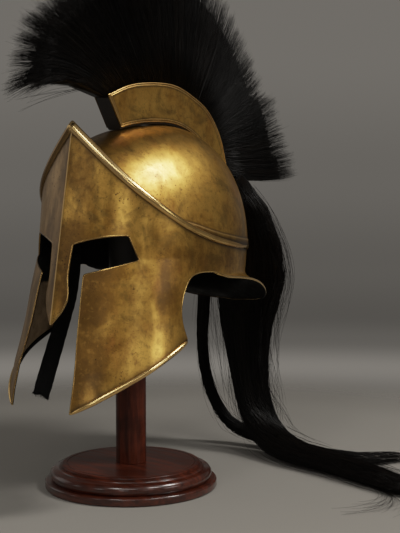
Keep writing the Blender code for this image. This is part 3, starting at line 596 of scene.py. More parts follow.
def helmet_sheet(brass, black, bright):
    """Face and neck guards, raised from one sheet, with the openings cut out.

    The patches of the left half and their mirror are merged on their shared borders; the
    inner face lies one wall thickness in along each point's normal.
    """
    patterns, quads, first = [], [], 0
    for grid in sheet_patches():
        own = grid_quads(*grid.shape[:2])[:, ::-1]
        for side in (1, -1):
            patterns.append((grid * [side, 1, 1]).reshape(-1, 3))
            quads.append((own if side > 0 else own[:, ::-1]) + first)
            first += len(patterns[-1])
    pattern, quads = np.concatenate(patterns), np.concatenate(quads)
    points = on_wall(pattern)
    _, keep, place = np.unique(np.round(points, 6), axis=0, return_index=True, return_inverse=True)
    quads = place.reshape(-1)[quads]
    points, pattern = points[keep], pattern[keep]
    normals = point_normals(points, quads)
    edges = np.concatenate([quads[:, [k, (k + 1) % 4]] for k in range(4)])
    edges = edges[edges[:, 0] != edges[:, 1]]
    n = len(points)
    alone = ~np.isin(edges[:, 0] * n + edges[:, 1], edges[:, 1] * n + edges[:, 0])
    rim = edges[alone]
    rim_quads = np.stack([rim[:, 1], rim[:, 0], rim[:, 0] + n, rim[:, 1] + n], -1)

    thin = quads[:, 0] == quads[:, 1]
    for k in range(1, 4):
        thin |= quads[:, k] == quads[:, (k + 1) % 4]
    whole, pinched = quads[~thin], quads[thin]
    triangles = np.array([list(dict.fromkeys(q)) for q in pinched.tolist()])
    a, z = np.abs(pattern[:, 0]), pattern[:, 1]
    behind_peak = (a[whole].mean(1) < 0.045) & (z[whole].mean(1) > 0.350)
    slots = [np.zeros(len(whole)), np.where(behind_peak, 0, 1), np.full(len(rim_quads), 2),
             np.zeros(len(triangles)), np.ones(len(triangles))]
    # painted shade: darker bands just under the roll and just above the cheek rims, where these stand out
    # from the sheet, and a faint darker line beside the crease
    below_roll = np.maximum(sheet_top(a) - z - 0.6 * roll_radius(a), 0)
    near_roll = np.exp(-below_roll / 0.0022) + 0.35 * np.exp(-below_roll / 0.009)
    on_cheek = (a > CHEEK_RIM["along"][0] - 0.002) & (a < 0.142) & (z < 0.20)
    over_rim = np.maximum(z - rim_z(a) - 0.8 * CHEEK_RIM_R, 0)
    near_rim = np.where(on_cheek, np.exp(-over_rim / 0.0018) + 0.25 * np.exp(-over_rim / 0.007), 0.0)
    beside_crease = 0.30 * ridge(a, 0.0035, 0.0025)
    grime = np.clip(near_roll + near_rim + beside_crease, 0, 1)
    # the crease's thin pale line: rubbed wear and a painted highlight along it
    worn = np.exp(-((a / 0.0005) ** 2))
    # painted shade: the right half, turned from the lights, goes greyer and darker, fading out towards the
    # back
    dull = np.where(pattern[:, 0] < 0, ease((a - 0.0004) / 0.002) * ease((0.22 - a) / 0.08), 0)
    bare = ease((0.232 - z) / 0.02) * ease((0.150 - a) / 0.01)
    # brown from the stains table: tarnish, painted shade, and painted highlights where below zero
    brown = sum(how * np.exp(-(((a - at) / wide) ** 2) - ((z - up) / tall) ** 2)
                for at, up, wide, tall, how in STAINS_AND_PAINTED_LIGHT)
    return make_piece(
        "helmet_sheet",
        np.concatenate([points, points - normals * WALL]),
        [whole, whole[:, ::-1] + n, rim_quads, triangles, triangles[:, ::-1] + n],
        [brass, black, bright], "patinated_brass", ("face_guard", "neck_guard"),
        slots=np.concatenate(slots), sharp=55,
        grime=np.tile(grime, 2), worn=np.tile(worn, 2), dull=np.tile(dull, 2), bare=np.tile(bare, 2),
        brown=np.tile(brown, 2),
    )


ROUNDING_PASSES = 3


def rounded(points):
    """Softens the corners of an evenly spaced polyline by averaging neighbours."""
    for _ in range(ROUNDING_PASSES):
        inner = (points[:-2] + points[1:-1] + points[2:]) / 3
        points = np.concatenate([points[:1], inner, points[-1:]])
    return points


def even(points, spacing):
    """Rows at even steps along a polyline in space, whose first three columns are x, y, z."""
    length = run_along(points[:, :3])
    at = np.linspace(0, length[-1], round(length[-1] / spacing) + 1)
    return np.stack([np.interp(at, length, points[:, k]) for k in range(points.shape[1])], -1)


def inner_side(rings, around, past=-0.25):
    """Which faces of an open tube look inward: 1 for those, which take the lining's paint."""
    turn = (np.arange(around) + 0.5) / around * 2 * pi
    return np.concatenate([np.tile(np.cos(turn) < past, rings - 1), np.zeros(2 * around, bool)])


def opening_edge(bright, black):
    """The bright rounded edge of eyes, nasal and cheek fronts: one thin tube along the cut."""
    z = np.linspace(CHEEK_FRONT["z"][0] - 0.001, CHEEK_CORNER[1], 60)
    nose_z = np.linspace(EYE_INNER_TOP[1], NOSE_Z, 60)
    half = np.concatenate([
        flat(curve(z, CHEEK_FRONT["z"], CHEEK_FRONT["along"]), z)[:-1],
        straight(CHEEK_CORNER, EYE_OUTER_LOW, 40)[:-1],
        straight(EYE_OUTER_LOW, EYE_OUTER_TOP, 20)[:-1],
        brow_edge(40)[::-1][:-1],
        flat(curve(nose_z, NASAL["z"], NASAL["along"]), nose_z),
    ])
    pattern = mirrored(half)
    outs = outward(pattern[:, 0], pattern[:, 1])
    right = pattern[:, :1] < 0
    both = np.concatenate([wall(pattern[:, 0], pattern[:, 1], -WALL / 2), outs, right], -1)
    both = rounded(even(both, 0.0009))
    # all the edges are dulled somewhat, and those of the right half more, as painted shade away from the
    # lights
    dull = np.repeat(0.4 + 0.5 * both[:, 6], 10)
    verts, faces = tube(both[:, :3], EDGE_R, both[:, 3:6], around=10)
    return make_piece("opening_edge", verts, faces, [bright, black], "polished_brass",
                      slots=inner_side(len(both), 10), dull=np.append(dull, [0.4, 0.4]))


def rear_edge(bright, black):
    """The bright edge of the ear notches and the neck flange: one tube, thicker behind."""
    z = np.linspace(NOTCH["z"][0] + 0.001, NOTCH["z"][-1], 50)
    a = np.linspace(NOTCH_TOP["along"][0], NECK_STARTS, 40)
    b = np.linspace(NECK_STARTS, BACK, 160)
    half = np.concatenate([
        flat(curve(z, NOTCH["z"], NOTCH["along"]), z)[:-1],
        flat(a, curve(a, NOTCH_TOP["along"], NOTCH_TOP["z"]))[:-1],
        neck_pattern(b, np.ones_like(b)),
    ])
    pattern = mirrored(half)
    edge = on_wall(pattern)
    outs = outward(pattern[:, 0], pattern[:, 1])
    slope = ease((np.abs(pattern[:, 0]) - NECK_STARTS - 0.006) / 0.022)[:, None]
    sheet_normal = unit(outs * (1 - 0.9 * slope) + slope * [0.0, 0.0, 1.0])
    edge = edge - sheet_normal * WALL / 2
    thick = EDGE_R + (FLANGE_R - EDGE_R) * slope
    both = rounded(even(np.concatenate([edge, sheet_normal, thick], -1), 0.0010))
    verts, faces = tube(both[:, :3], both[:, 6], both[:, 3:6], around=12)
    # the flange's thick rim takes the pale rubbed colour: wear and a painted highlight along it
    rubbed = np.repeat(ease((both[:, 6] - EDGE_R) / (FLANGE_R - EDGE_R)), 12)
    return make_piece("rear_edge", verts, faces, [bright, black], "polished_brass", ("neck_rim",),
                      slots=inner_side(len(both), 12, -0.6), worn=np.append(rubbed, [0, 0]))


def brow_bead(bright, black):
    """The rolled bead from the peak round the nape: a round closed tube, mitred at the peak.

    Its hidden side, inside the helmet, is painted with the rest of the lining.
    """
    along, path = roll_path(260)
    outs = outward(along, roll_z(along))
    outs[0] = (0.0, -1.0, 0.0)
    around = 26
    verts, faces = tube(path, roll_radius(along), outs, around, closed=True)
    fall = unit((path[1] - path[-1])[None])[0]
    slope = unit((path[1] - path[0])[None])[0]
    mitre = max(abs(slope @ fall) ** 0.5, 0.5)
    verts[:around, 2] = path[0, 2] + (verts[:around, 2] - path[0, 2]) / mitre
    a = np.repeat(np.abs(along), around)
    turn = (np.tile(np.arange(around), len(path)) + 0.5) / around * 2 * pi
    hidden = (np.cos(turn) < -0.15) & (np.sin(turn) > -0.2) & (a > 0.05)
    # pale near the peak, fading towards the back: wear and a painted highlight
    worn = 1 - 0.85 * ease((a - 0.03) / 0.10)
    # painted shade: the bead's right half, away from the lights, is darkened
    dull = np.repeat(ease(-along / 0.004) * ease((0.22 + along) / 0.08), around)
    return make_piece("brow_bead", verts, faces, [bright, black], "polished_brass", ("brow_roll",),
                      slots=hidden, worn=worn, dull=dull)


def cheek_bead(side, name, node, bright, black):
    """A cheek's rolled rim: a tube that swells from its ends, along the lower edge."""
    t = np.linspace(0, 1, 130)
    front, back = CHEEK_RIM["along"][0], CHEEK_RIM["along"][-1]
    a = front - 0.0006 + (back - front + 0.0012) * t
    on_rim = np.clip(a, front, back)
    z = rim_z(on_rim) + (a - on_rim) * 0.6
    path = wall(side * a, z, -WALL / 2)
    radius = CHEEK_RIM_R * np.sqrt(1 - np.abs(2 * t - 1) ** 9)
    radius = np.maximum(radius * (0.80 + 0.20 * ease(6 * t)), 0.0002)
    verts, faces = tube(path, radius, outward(side * a, z), around=20)
    return make_piece(name, verts, faces, [bright, black], "polished_brass", (node,),
                      slots=inner_side(len(path), 20), worn=np.full(len(verts), 0.5))


def bowl(angle, turn, shrink=0.0):
    """The skull bowl: compass angle round it, and turn down its profile from the top."""
    u = np.cos(turn)
    g = np.maximum(1 - np.abs(u) ** BOWL_RISE, 0.0) ** (1 / BOWL_ROUND)
    reach = np.where(np.sin(angle) > 0, BOWL_BACK, BOWL_FRONT) - shrink
    x = (BOWL_HALF_WIDTH - shrink) * g * np.cos(angle)
    y = BOWL_Y + reach * g * np.sin(angle)
    return np.stack([x, y, BOWL_FOOT_Z + (BOWL_TOP_Z - shrink - BOWL_FOOT_Z) * u], -1)


ROLL_ALONG, ROLL_POINTS = roll_path(400)
ROLL_COMPASS = np.arctan2(ROLL_POINTS[:, 1] - BOWL_Y, ROLL_POINTS[:, 0])
ROLL_REACH = np.hypot(ROLL_POINTS[:, 0], ROLL_POINTS[:, 1] - BOWL_Y)


def beside_roll(points):
    """For points of the bowl: their reach from its axis, and the roll's values beside them.

    Gives reach, the roll's reach, height and radius in the same upright plane, its place
    along the wall, and the reach of the wall's inner face at the point's height.
    """
    compass = np.arctan2(points[..., 1] - BOWL_Y, points[..., 0])

    def read(values):
        return np.interp(compass, ROLL_COMPASS, values, period=2 * pi)

    reach = np.hypot(points[..., 0], points[..., 1] - BOWL_Y)
    along = read(np.abs(ROLL_ALONG))
    inner = wall(along, points[..., 2], -WALL)
    wall_reach = np.hypot(inner[..., 0], inner[..., 1] - BOWL_Y)
    return reach, read(ROLL_REACH), read(ROLL_POINTS[:, 2]), roll_radius(along), along, wall_reach


def first(stop, turns):
    """The first turn at which stop holds, or the last turn where it never does."""
    stop[:, -1] = True
    return turns[np.argmax(stop, axis=1)]


def smoothed(ring, passes):
    """A closed ring of values, each averaged with its two neighbours."""
    for _ in range(passes):
        ring = (ring + np.roll(ring, 1) + np.roll(ring, -1)) / 3
    return ring


def bowl_edges(angles, steps=900):
    """How far down the bowl runs at each angle: to the roll, and on to its own foot.

    Worked in the upright plane at each angle. The bowl meets the roll where it comes within
    the roll's radius or down to its height, and ends inside it or at the wall's inner face.
    """
    turns = np.linspace(0.05, pi / 2, steps)
    points = bowl(*np.meshgrid(angles, turns, indexing="ij"))
    reach, roll_reach, height, radius, _, wall_reach = beside_roll(points)
    near = np.hypot(reach - roll_reach, points[..., 2] - height) < 0.7 * radius
    meet = first(near | (points[..., 2] < height + 0.2 * radius), turns)
    foot = first(near | ((points[..., 2] < height) & (reach > wall_reach)), turns)
    return smoothed(meet, 6), smoothed(np.maximum(foot, meet + 0.004), 2)


def skull(brass, black):
    """The raised bowl, with its doubled foot standing proud above the roll, black inside.

    Below the roll the bowl is pressed against the wall's inner face.
    """
    around = 220
    angles = round_angles(around) + 1e-3
    meet, foot = bowl_edges(angles)
    shares = np.concatenate([np.linspace(0, 0.82, 40)[1:], np.linspace(0.82, 1, 40)[1:]])
    hidden = np.linspace(0, 1, 7)[1:, None]
    turn = np.concatenate([np.outer(shares, meet), meet + hidden * (foot - meet)])
    angle = np.tile(angles, (len(turn), 1))
    outer = bowl(angle, turn)
    down = unit(np.gradient(outer, axis=0))
    normal = unit(np.cross(down, np.roll(outer, -1, 1) - np.roll(outer, 1, 1)))
    reach, roll_reach, roll_top, radius, along, _ = beside_roll(outer)
    gap = np.hypot(reach - roll_reach, outer[..., 2] - roll_top) - radius
    width = LIP_WIDTH * ease((along - LIP_STARTS) / (LIP_FULL - LIP_STARTS))
    proud = np.minimum(1, width / 0.003)
    outer = outer + normal * (LIP_HEIGHT * proud * ease((width - gap) / 0.0014))[..., None]
    inner = bowl(angle, turn, BOWL_WALL)[::-2]

    rings = np.concatenate([outer, inner])
    reach, _, height, _, _, wall_reach = beside_roll(rings)
    fits = (wall_reach - 0.0004) / np.maximum(reach, 0.01)
    room = np.where(rings[..., 2] < height, np.minimum(1, fits), 1)
    rings[..., :2] = [0, BOWL_Y] + (rings[..., :2] - [0, BOWL_Y]) * room[..., None]
    poles = [(0.0, BOWL_Y, BOWL_TOP_Z), (0.0, BOWL_Y, BOWL_TOP_Z - BOWL_WALL)]
    verts, faces = closed_rings(rings, poles, lathe=True)
    painted = (faces[0].min(1) >= (len(outer) - 1) * around).astype(int)
    slots = np.concatenate([painted, np.zeros(around), np.ones(around)])
    spare = np.zeros(len(inner) * around + 2)
    # painted shade: a dark line where the bowl meets the roll and along the lip's upper edge, and darkening
    # beside the crest plates
    grime = np.exp(-np.maximum(gap - 0.0004, 0) / 0.0022) + 0.8 * proud * ridge(gap, width, 0.0010)
    beside_plate = np.exp(-np.maximum(np.abs(outer[..., 0]) - CORE_HALF - 0.003, 0) / 0.014)
    grime = grime + 0.75 * beside_plate
    # painted highlight: a thin pale line just below the lip's edge
    worn = 0.22 * proud * ridge(gap, width - 0.0016, 0.0006)
    # darker brown just above the roll towards the back, and faintly down the front middle
    brown = 0.6 * ridge(outer[..., 2], roll_top, 0.030) * ease((along - 0.08) / 0.06)
    brown = brown + 0.2 * ridge(outer[..., 0], 0, 0.040) * ease((0.070 - outer[..., 1]) / 0.05)
    return make_piece(
        "skull", verts, faces, [brass, black], "patinated_brass", ("skull_bowl",), slots=slots, sharp=60,
        grime=np.concatenate([np.clip(grime, 0, 1).ravel(), spare]),
        worn=np.concatenate([worn.ravel(), spare]), brown=np.concatenate([brown.ravel(), spare]),
    )


# ---------------------------------------------------------------- the crest


def bowl_profile(turn_degrees, lift=0.0):
    """The bowl's middle section: (y, z) at a turn from its top, raised by lift."""
    turn = np.radians(np.asarray(turn_degrees, float))
    step = 0.01
    here, ahead, behind = (
        bowl(np.where(t < 0, -pi / 2, pi / 2), np.abs(t))[..., 1:] for t in (turn, turn + step, turn - step)
    )
    run = unit(ahead - behind)
    return here + np.stack([-run[..., 1], run[..., 0]], -1) * np.asarray(lift)[..., None]


def crest_outer(turn, sink=0.0):
    """The holder's outer edge (y, z), moved in by sink."""
    edge = np.stack([curve(turn, CREST["turn"], CREST[k]) for k in ("y", "z")], -1)
    return edge - unit(edge - bowl_profile(turn)) * sink


def crest_block(black):
    """The black holder: a bar between the bowl and its outer edge, its corners eased."""
    turn = np.linspace(CREST["turn"][0], CREST["turn"][-1], 90)
    inner, outer = bowl_profile(turn, 0.0003), crest_outer(turn, CORE_SUNK)
    around, squareness = 28, 0.16
    across, along = square_round(round_angles(around), squareness)
    across, along = across * CORE_HALF, (along + 1) / 2
    yz = inner[:, None] * (1 - along[None, :, None]) + outer[:, None] * along[None, :, None]
    rings = np.concatenate([np.broadcast_to(across[None, :, None], yz.shape[:2] + (1,)), yz], -1)
    verts, faces = closed_rings(rings, np.stack([rings[0].mean(0), rings[-1].mean(0)]))
    return make_piece("crest_block", verts, faces, [black], "black_wood", ("crest_core",), sharp=50)


def crest_plate(side, name, node, brass):
    """A side plate of the holder: a curved strip with two fine ridges chased round its edge.

    Its outer face stands out by a function of the distance to the nearest edge.
    """
    turn = np.linspace(CREST["turn"][0], CREST["turn"][-1], 260)
    band = 0.16  # of the plate's height, where the ridges lie
    share = np.concatenate([
        np.linspace(0, band, 17), np.linspace(band, 1 - band, 10)[1:-1], np.linspace(1 - band, 1, 17),
    ])
    inner, outer = bowl_profile(turn, PLATE_LIFT), crest_outer(turn)
    yz = inner[:, None] * (1 - share[None, :, None]) + outer[:, None] * share[None, :, None]
    height = np.linalg.norm(outer - inner, axis=1)[:, None]
    run = run_along((inner + outer) / 2)
    edge = np.minimum(np.minimum(share[None] * height, (1 - share[None]) * height), run[:, None] + 0.0002)
    rim, inner_line = ridge(edge, 0.0007, 0.0006), ridge(edge, 0.0030, 0.0005)
    ridges = 0.00075 * rim + 0.00035 * inner_line
    groove = 0.00030 * ridge(edge, 0.0018, 0.0005)
    face = CORE_HALF + PLATE_GAP + PLATE + ridges - groove
    back = CORE_HALF + PLATE_GAP
    front = np.concatenate([face[..., None] * side, yz], -1)
    rear = np.concatenate([np.full(yz.shape[:2] + (1,), back * side), yz], -1)[:, [-1, 0]]
    rings = np.concatenate([front, rear], 1)
    corners = [0, -2, -1, len(share) // 2]
    verts, faces = closed_rings(rings, rings[[0, -1]][:, corners].mean(1))
    if side < 0:
        faces = [group[:, ::-1] for group in faces]
    worn = rim + 0.6 * inner_line
    # painted shade: dark lines in the grooves beside the ridges
    grime = 0.9 * ridge(edge, 0.0019, 0.0005) + 0.6 * ridge(edge, 0.0042, 0.0009)
    # painted shade: the right plate, away from the lights, is darkened at its front end and on its back,
    # and its ridges barely lighten
    if side < 0:
        worn, grime = 0.1 * worn, np.maximum(grime, np.exp(-(run[:, None] / 0.004) ** 2))
    spare = np.zeros((len(rings), 2))
    worn = np.concatenate([np.concatenate([0.4 * worn, spare], 1).ravel(), [0, 0]])
    grime = np.concatenate([np.concatenate([grime, spare + (side < 0)], 1).ravel(), [side < 0] * 2])
    return make_piece(name, verts, faces, [brass], "patinated_brass", (node,), sharp=50,
                      worn=worn, grime=grime)


def hair_tip(turn):
    """Where the standing hair ends (y, z) at a turn."""
    return np.stack([curve(turn, HAIR["turn"], HAIR[k]) for k in ("y", "z")], -1)


def crest_path(turn, share, across):
    """A point of the standing hair: root's turn, share of the way to the tip, side to side."""
    root = crest_outer(turn, CORE_SUNK + 0.001)
    yz = root + share[..., None] * (hair_tip(turn) - root)
    yz[..., 1] += curve(turn, HAIR["turn"], HAIR["bow"]) * 4 * share * (1 - share)
    half = curve(share, BRUSH["share"], BRUSH["half"])
    return np.concatenate([(across * half)[..., None], yz], -1)


def crest_body(hair):
    """The dense inside of the brush: combed ridges that follow the hair, ragged at the tips."""
    stations, steps = 420, 12
    turn = np.linspace(HAIR["turn"][0], HAIR["turn"][-1], stations)
    swell = 0.90 + 0.06 * waves(turn, 5, 10, 4, 30) + 0.03 * dice.normal(size=stations)
    reach = 0.82 * (1 - np.interp(turn, TUFTS["turn"], TUFTS["short"])) + 0.02 * waves(turn, 7, 8, 3, 22)
    share = np.linspace(0, 1, steps)
    grow = np.outer(reach, share)
    sides = []
    for side in (1, -1):
        across = side * swell[:, None] * (1 - 0.35 * share[None] ** 6)
        sides.append(crest_path(np.broadcast_to(turn[:, None], grow.shape), grow, across))
    rings = np.concatenate([sides[0], sides[1][:, ::-1]], 1)
    verts, faces = closed_rings(rings, np.stack([rings[0].mean(0), rings[-1].mean(0)]))
    return make_piece("crest_body", verts, faces, [hair], "black_horsehair", ("crest_hair",),
                      shade=np.full(len(verts), INSIDE_TONE))


def crest_strands(name, count, low, high, hair):
    """Standing hairs between two turns, gathered in tufts and cut to the brush's outline.

    Each hair leans towards the middle of its tuft on the way up, and the hairs at a
    tuft's sides are a little shorter, so the tufts end in soft points.
    """
    stations = 5
    turn = np.sort(dice.uniform(low, high, count))
    skin = dice.random(count) < 0.55
    across = np.where(skin, dice.choice([-1, 1], count) * dice.uniform(0.84, 1.03, count),
                      dice.uniform(-0.95, 0.95, count))
    spot = turn + 0.5 * across + 0.25 * dice.normal(size=count)
    tuft = np.interp(spot, TUFT_EDGES, np.arange(len(TUFT_EDGES)))
    tuft = np.clip(tuft.astype(int), 0, len(TUFT_EDGES) - 2)
    middle = (TUFT_EDGES[tuft] + TUFT_EDGES[tuft + 1]) / 2
    off = (turn - middle) / (TUFT_EDGES[tuft + 1] - TUFT_EDGES[tuft])
    reach = 1 - np.interp(turn, TUFTS["turn"], TUFTS["short"]) + TUFT_REACH[tuft]
    reach = reach - 0.06 * np.minimum(np.abs(off), 1) ** 1.5 - np.abs(dice.normal(0, 0.034, count)) + 0.026
    reach = reach + 0.03 * ease((-8.0 - turn) / 8.0)
    reach = reach * np.where(dice.random(count) < 0.15, dice.uniform(0.76, 0.96, count), 1.0)
    share = 0.01 + 0.99 * np.linspace(0, 1, stations)[None] ** 0.85
    grow = np.clip(share * reach[:, None], 0, 1.05)
    path_turn = turn[:, None] + (middle - turn)[:, None] * 0.32 * grow**2
    path_turn = np.clip(path_turn, HAIR["turn"][0], HAIR["turn"][-1])
    side = across[:, None] * (1 + 0.04 * dice.normal(size=(count, 1)) * grow)
    path = crest_path(path_turn, grow, side)
    bend = dice.normal(0, 0.0022, (count, 1, 3)) * (grow**1.5)[..., None]
    wave = dice.normal(0, 0.0006, (count, 1, 3))
    wave = wave * np.sin(pi * share * dice.uniform(1, 2, (count, 1)))[..., None]
    loose = (dice.random(count) < 0.05)[:, None, None]
    bend = np.where(loose, bend * 2.0, bend)
    droop = dice.uniform(0.0, 0.013, (count, 1)) * ease((-15.5 - turn[:, None]) / 3.5) * grow**3
    bend[..., 2] -= droop
    radius = dice.uniform(*CREST_HAIR_R, (count, 1)) * (1 - 0.82 * share**2)
    verts, faces = strands(path + bend + wave, radius, (1.0, 0.2, 0.1))
    tone = np.clip(0.40 + 0.25 * dice.normal(size=count) + TUFT_TONE[tuft], 0, 1)
    return make_piece(name, verts, faces, [hair], "black_horsehair",
                      shade=np.repeat(tone, stations * 3))


# ---------------------------------------------------------------- falling hair


def hair_frame(rows, at):
    """Centre, half width vector and half thickness vector of a lock at distances along it."""
    rows = np.array(rows, float)
    reach = run_along(rows[:, :3])
    at = np.clip(at, 0, 1) * reach[-1]

    def middle(s):
        return np.stack([curve(s, reach, rows[:, k]) for k in range(3)], -1)

    step = 0.002
    tangent = unit(middle(np.minimum(at + step, reach[-1])) - middle(np.maximum(at - step, 0)))
    width, thick, turn = (curve(at, reach, rows[:, k])[..., None] for k in (3, 4, 5))
    turn = np.radians(turn)
    side = np.concatenate([np.cos(turn), np.sin(turn), 0 * turn], -1)
    side = unit(side - (side * tangent).sum(-1, keepdims=True) * tangent)
    return middle(at), side * width, np.cross(tangent, side) * thick


def on_floor(points, radius=0.0):
    """Hair that reaches the surface lies on it, and no curl runs on past the tail's own end."""
    points = points.copy()
    points[..., 2] = np.maximum(points[..., 2], FLOOR_CLEAR + radius)
    far = np.maximum(points[..., 0] - (TAIL[-1][0] - 0.010), 0)
    points[..., 0] -= far - 0.018 * (1 - np.exp(-far / 0.018))
    return points


def lock_body(name, rows, node, hair, seed, fill=0.80, stations=170, around=40):
    """The dense inside of a lock: a flattened tube with ridges that run along it."""
    at = np.linspace(0, 0.97, stations)
    centre, width, thick = hair_frame(rows, at)
    t = round_angles(around)
    twist = t[None] + 0.5 * waves(at * 3, seed, 3, 1, 3)[:, None]
    swell = fill * (1 + 0.06 * waves(twist, seed + 1, 8, 3, 17) + 0.03 * waves(at * 9, seed + 2)[:, None])
    taper = (np.clip((1 - at / 0.975) / 0.32, 0.0, 1.0) ** 0.85)[:, None]
    rings = centre[:, None] + (swell * taper)[..., None] * (
        width[:, None] * np.cos(t)[None, :, None] + thick[:, None] * np.sin(t)[None, :, None]
    )
    verts, faces = closed_rings(on_floor(rings), centre[[0, -1]])
    return make_piece(name, verts, faces, [hair], "black_horsehair", (node,),
                      shade=np.full(len(verts), INSIDE_TONE))


def lock_strands(name, rows, count, hair, ends=(0.80, 1.0)):
    """Hairs of a lock: each keeps its place in the section, drifting slowly round it."""
    stations = 16
    start = np.abs(dice.normal(0, 0.01, (count, 1)))
    end = dice.uniform(*ends, (count, 1)) ** 0.6
    share = np.linspace(0, 1, stations)[None]
    at = start + (end - start) * share
    place = dice.uniform(0, 2 * pi, (count, 1))
    skin = np.where(dice.random((count, 1)) < 0.75, dice.uniform(0.78, 0.98, (count, 1)),
                    np.sqrt(dice.uniform(0, 0.8, (count, 1))))
    drift = place + 0.35 * np.sin(at * dice.uniform(3, 9, (count, 1)) + dice.uniform(0, 6, (count, 1)))
    fan_out = skin * (1 + 0.05 * np.sin(at * dice.uniform(6, 14, (count, 1)) + place))
    fan_out = fan_out * (1 + 0.5 * ease((at - 0.86) / 0.14) * dice.uniform(-0.6, 0.6, (count, 1)))
    centre, width, thick = hair_frame(rows, at)
    path = centre + width * (fan_out * np.cos(drift))[..., None]
    path = path + thick * (fan_out * np.sin(drift))[..., None]
    path = path + dice.normal(0, 0.0007, (count, 1, 3)) * np.sin(at * 9)[..., None]
    radius = LOCK_HAIR_R * dice.uniform(0.75, 1.15, (count, 1)) * (1 - 0.75 * share**4)
    verts, faces = strands(on_floor(path, 0.0003), radius, (0.15, 1.0, 0.1))
    tone = np.clip(0.45 + 0.30 * dice.normal(size=count) + 0.3 * np.sin(place[:, 0] * 5), 0, 1)
    return make_piece(name, verts, faces, [hair], "black_horsehair",
                      shade=np.repeat(tone, stations * 3))


def loose_hairs(hair):
    """Single hairs that leave the tail, the lock and the brush in long thin bows."""
    groups = []

    def bow(rows, count, first, last, length, out, sides):
        """Hairs that start in a lock's skin, swing out of it and come back or hang free."""
        share = np.linspace(0, 1, 12)[None]
        start = dice.uniform(first, last, (count, 1))
        at = start + dice.uniform(*length, (count, 1)) * share
        centre, width, thick = hair_frame(rows, at)
        side = dice.choice(sides, (count, 1)) * dice.uniform(0.75, 1.0, (count, 1))
        swing = dice.uniform(*out, (count, 1)) * np.sin(share * dice.uniform(1.6, 3.1, (count, 1)))
        depth = dice.uniform(-1, 1, (count, 1))
        path = centre + width * side[..., None] + unit(width) * (np.sign(side) * swing)[..., None]
        path = path + thick * depth[..., None] + dice.normal(0, 0.001, (count, 1, 3)) * share[..., None]
        groups.append(on_floor(path, 0.0003))

    bow(TAIL, 140, 0.02, 0.40, (0.12, 0.30), (0.003, 0.017), [1, 1, 1, -1])
    bow(TAIL, 26, 0.22, 0.50, (0.10, 0.22), (0.002, 0.012), [-1])
    bow(TAIL, 100, 0.55, 0.88, (0.06, 0.16), (0.002, 0.012), [-1, 1])
    bow(LOCK, 30, 0.12, 0.55, (0.08, 0.20), (0.002, 0.009), [-1, 1])
    bow(LOCK, 30, 0.60, 0.90, (0.06, 0.12), (0.002, 0.010), [-1, 1])

    share = np.linspace(0, 1, 12)[None]
    # a few long ones that hang forward out of the front of the brush
    count = 7
    start = np.array([-0.055, 0.430]) + dice.uniform(-0.012, 0.012, (count, 2)) * [1, 0.1]
    end = np.array([-0.150, 0.409]) + dice.uniform(-0.026, 0.018, (count, 2)) * [1, 0.4]
    rise = dice.uniform(0.001, 0.005, (count, 1))
    yz = start[:, None] + (end - start)[:, None] * share[..., None]
    yz[..., 1] += rise * 4 * share * (1 - share)
    x = dice.uniform(-0.008, 0.004, (count, 1)) + dice.uniform(-0.004, 0.004, (count, 1)) * share
    groups.append(np.concatenate([x[..., None], yz], -1))
    # curled ends that leave the tail over the surface, towards the front
    count = 34
    turn = dice.uniform(0.5, 1.5, (count, 1)) + dice.uniform(0.8, 2.3, (count, 1)) * share
    step = dice.uniform(0.075, 0.120, (count, 1)) / 12
    heading = np.stack([np.cos(-turn + 0.9), np.sin(-turn + 0.9)], -1) * step[..., None]
    xy = np.cumsum(heading, axis=1) + (dice.uniform(0, 1, (count, 1, 1)) * [0.030, -0.012] + [0.205, 0.150])
    z = FLOOR_CLEAR + 0.0004 + 0.004 * (1 - share) * dice.random((count, 1))
    groups.append(on_floor(np.concatenate([xy, z[..., None]], -1)))

    paths = np.concatenate(groups)
    radius = dice.uniform(*LOOSE_HAIR_R, (len(paths), 1)) * (1 - 0.7 * share**3)
    verts, faces = strands(paths, radius, (0.2, 1.0, 0.15))
    return make_piece("loose_hairs", verts, faces, [hair], "black_horsehair",
                      shade=np.full(len(verts), 0.3))


# ---------------------------------------------------------------- strap and stand


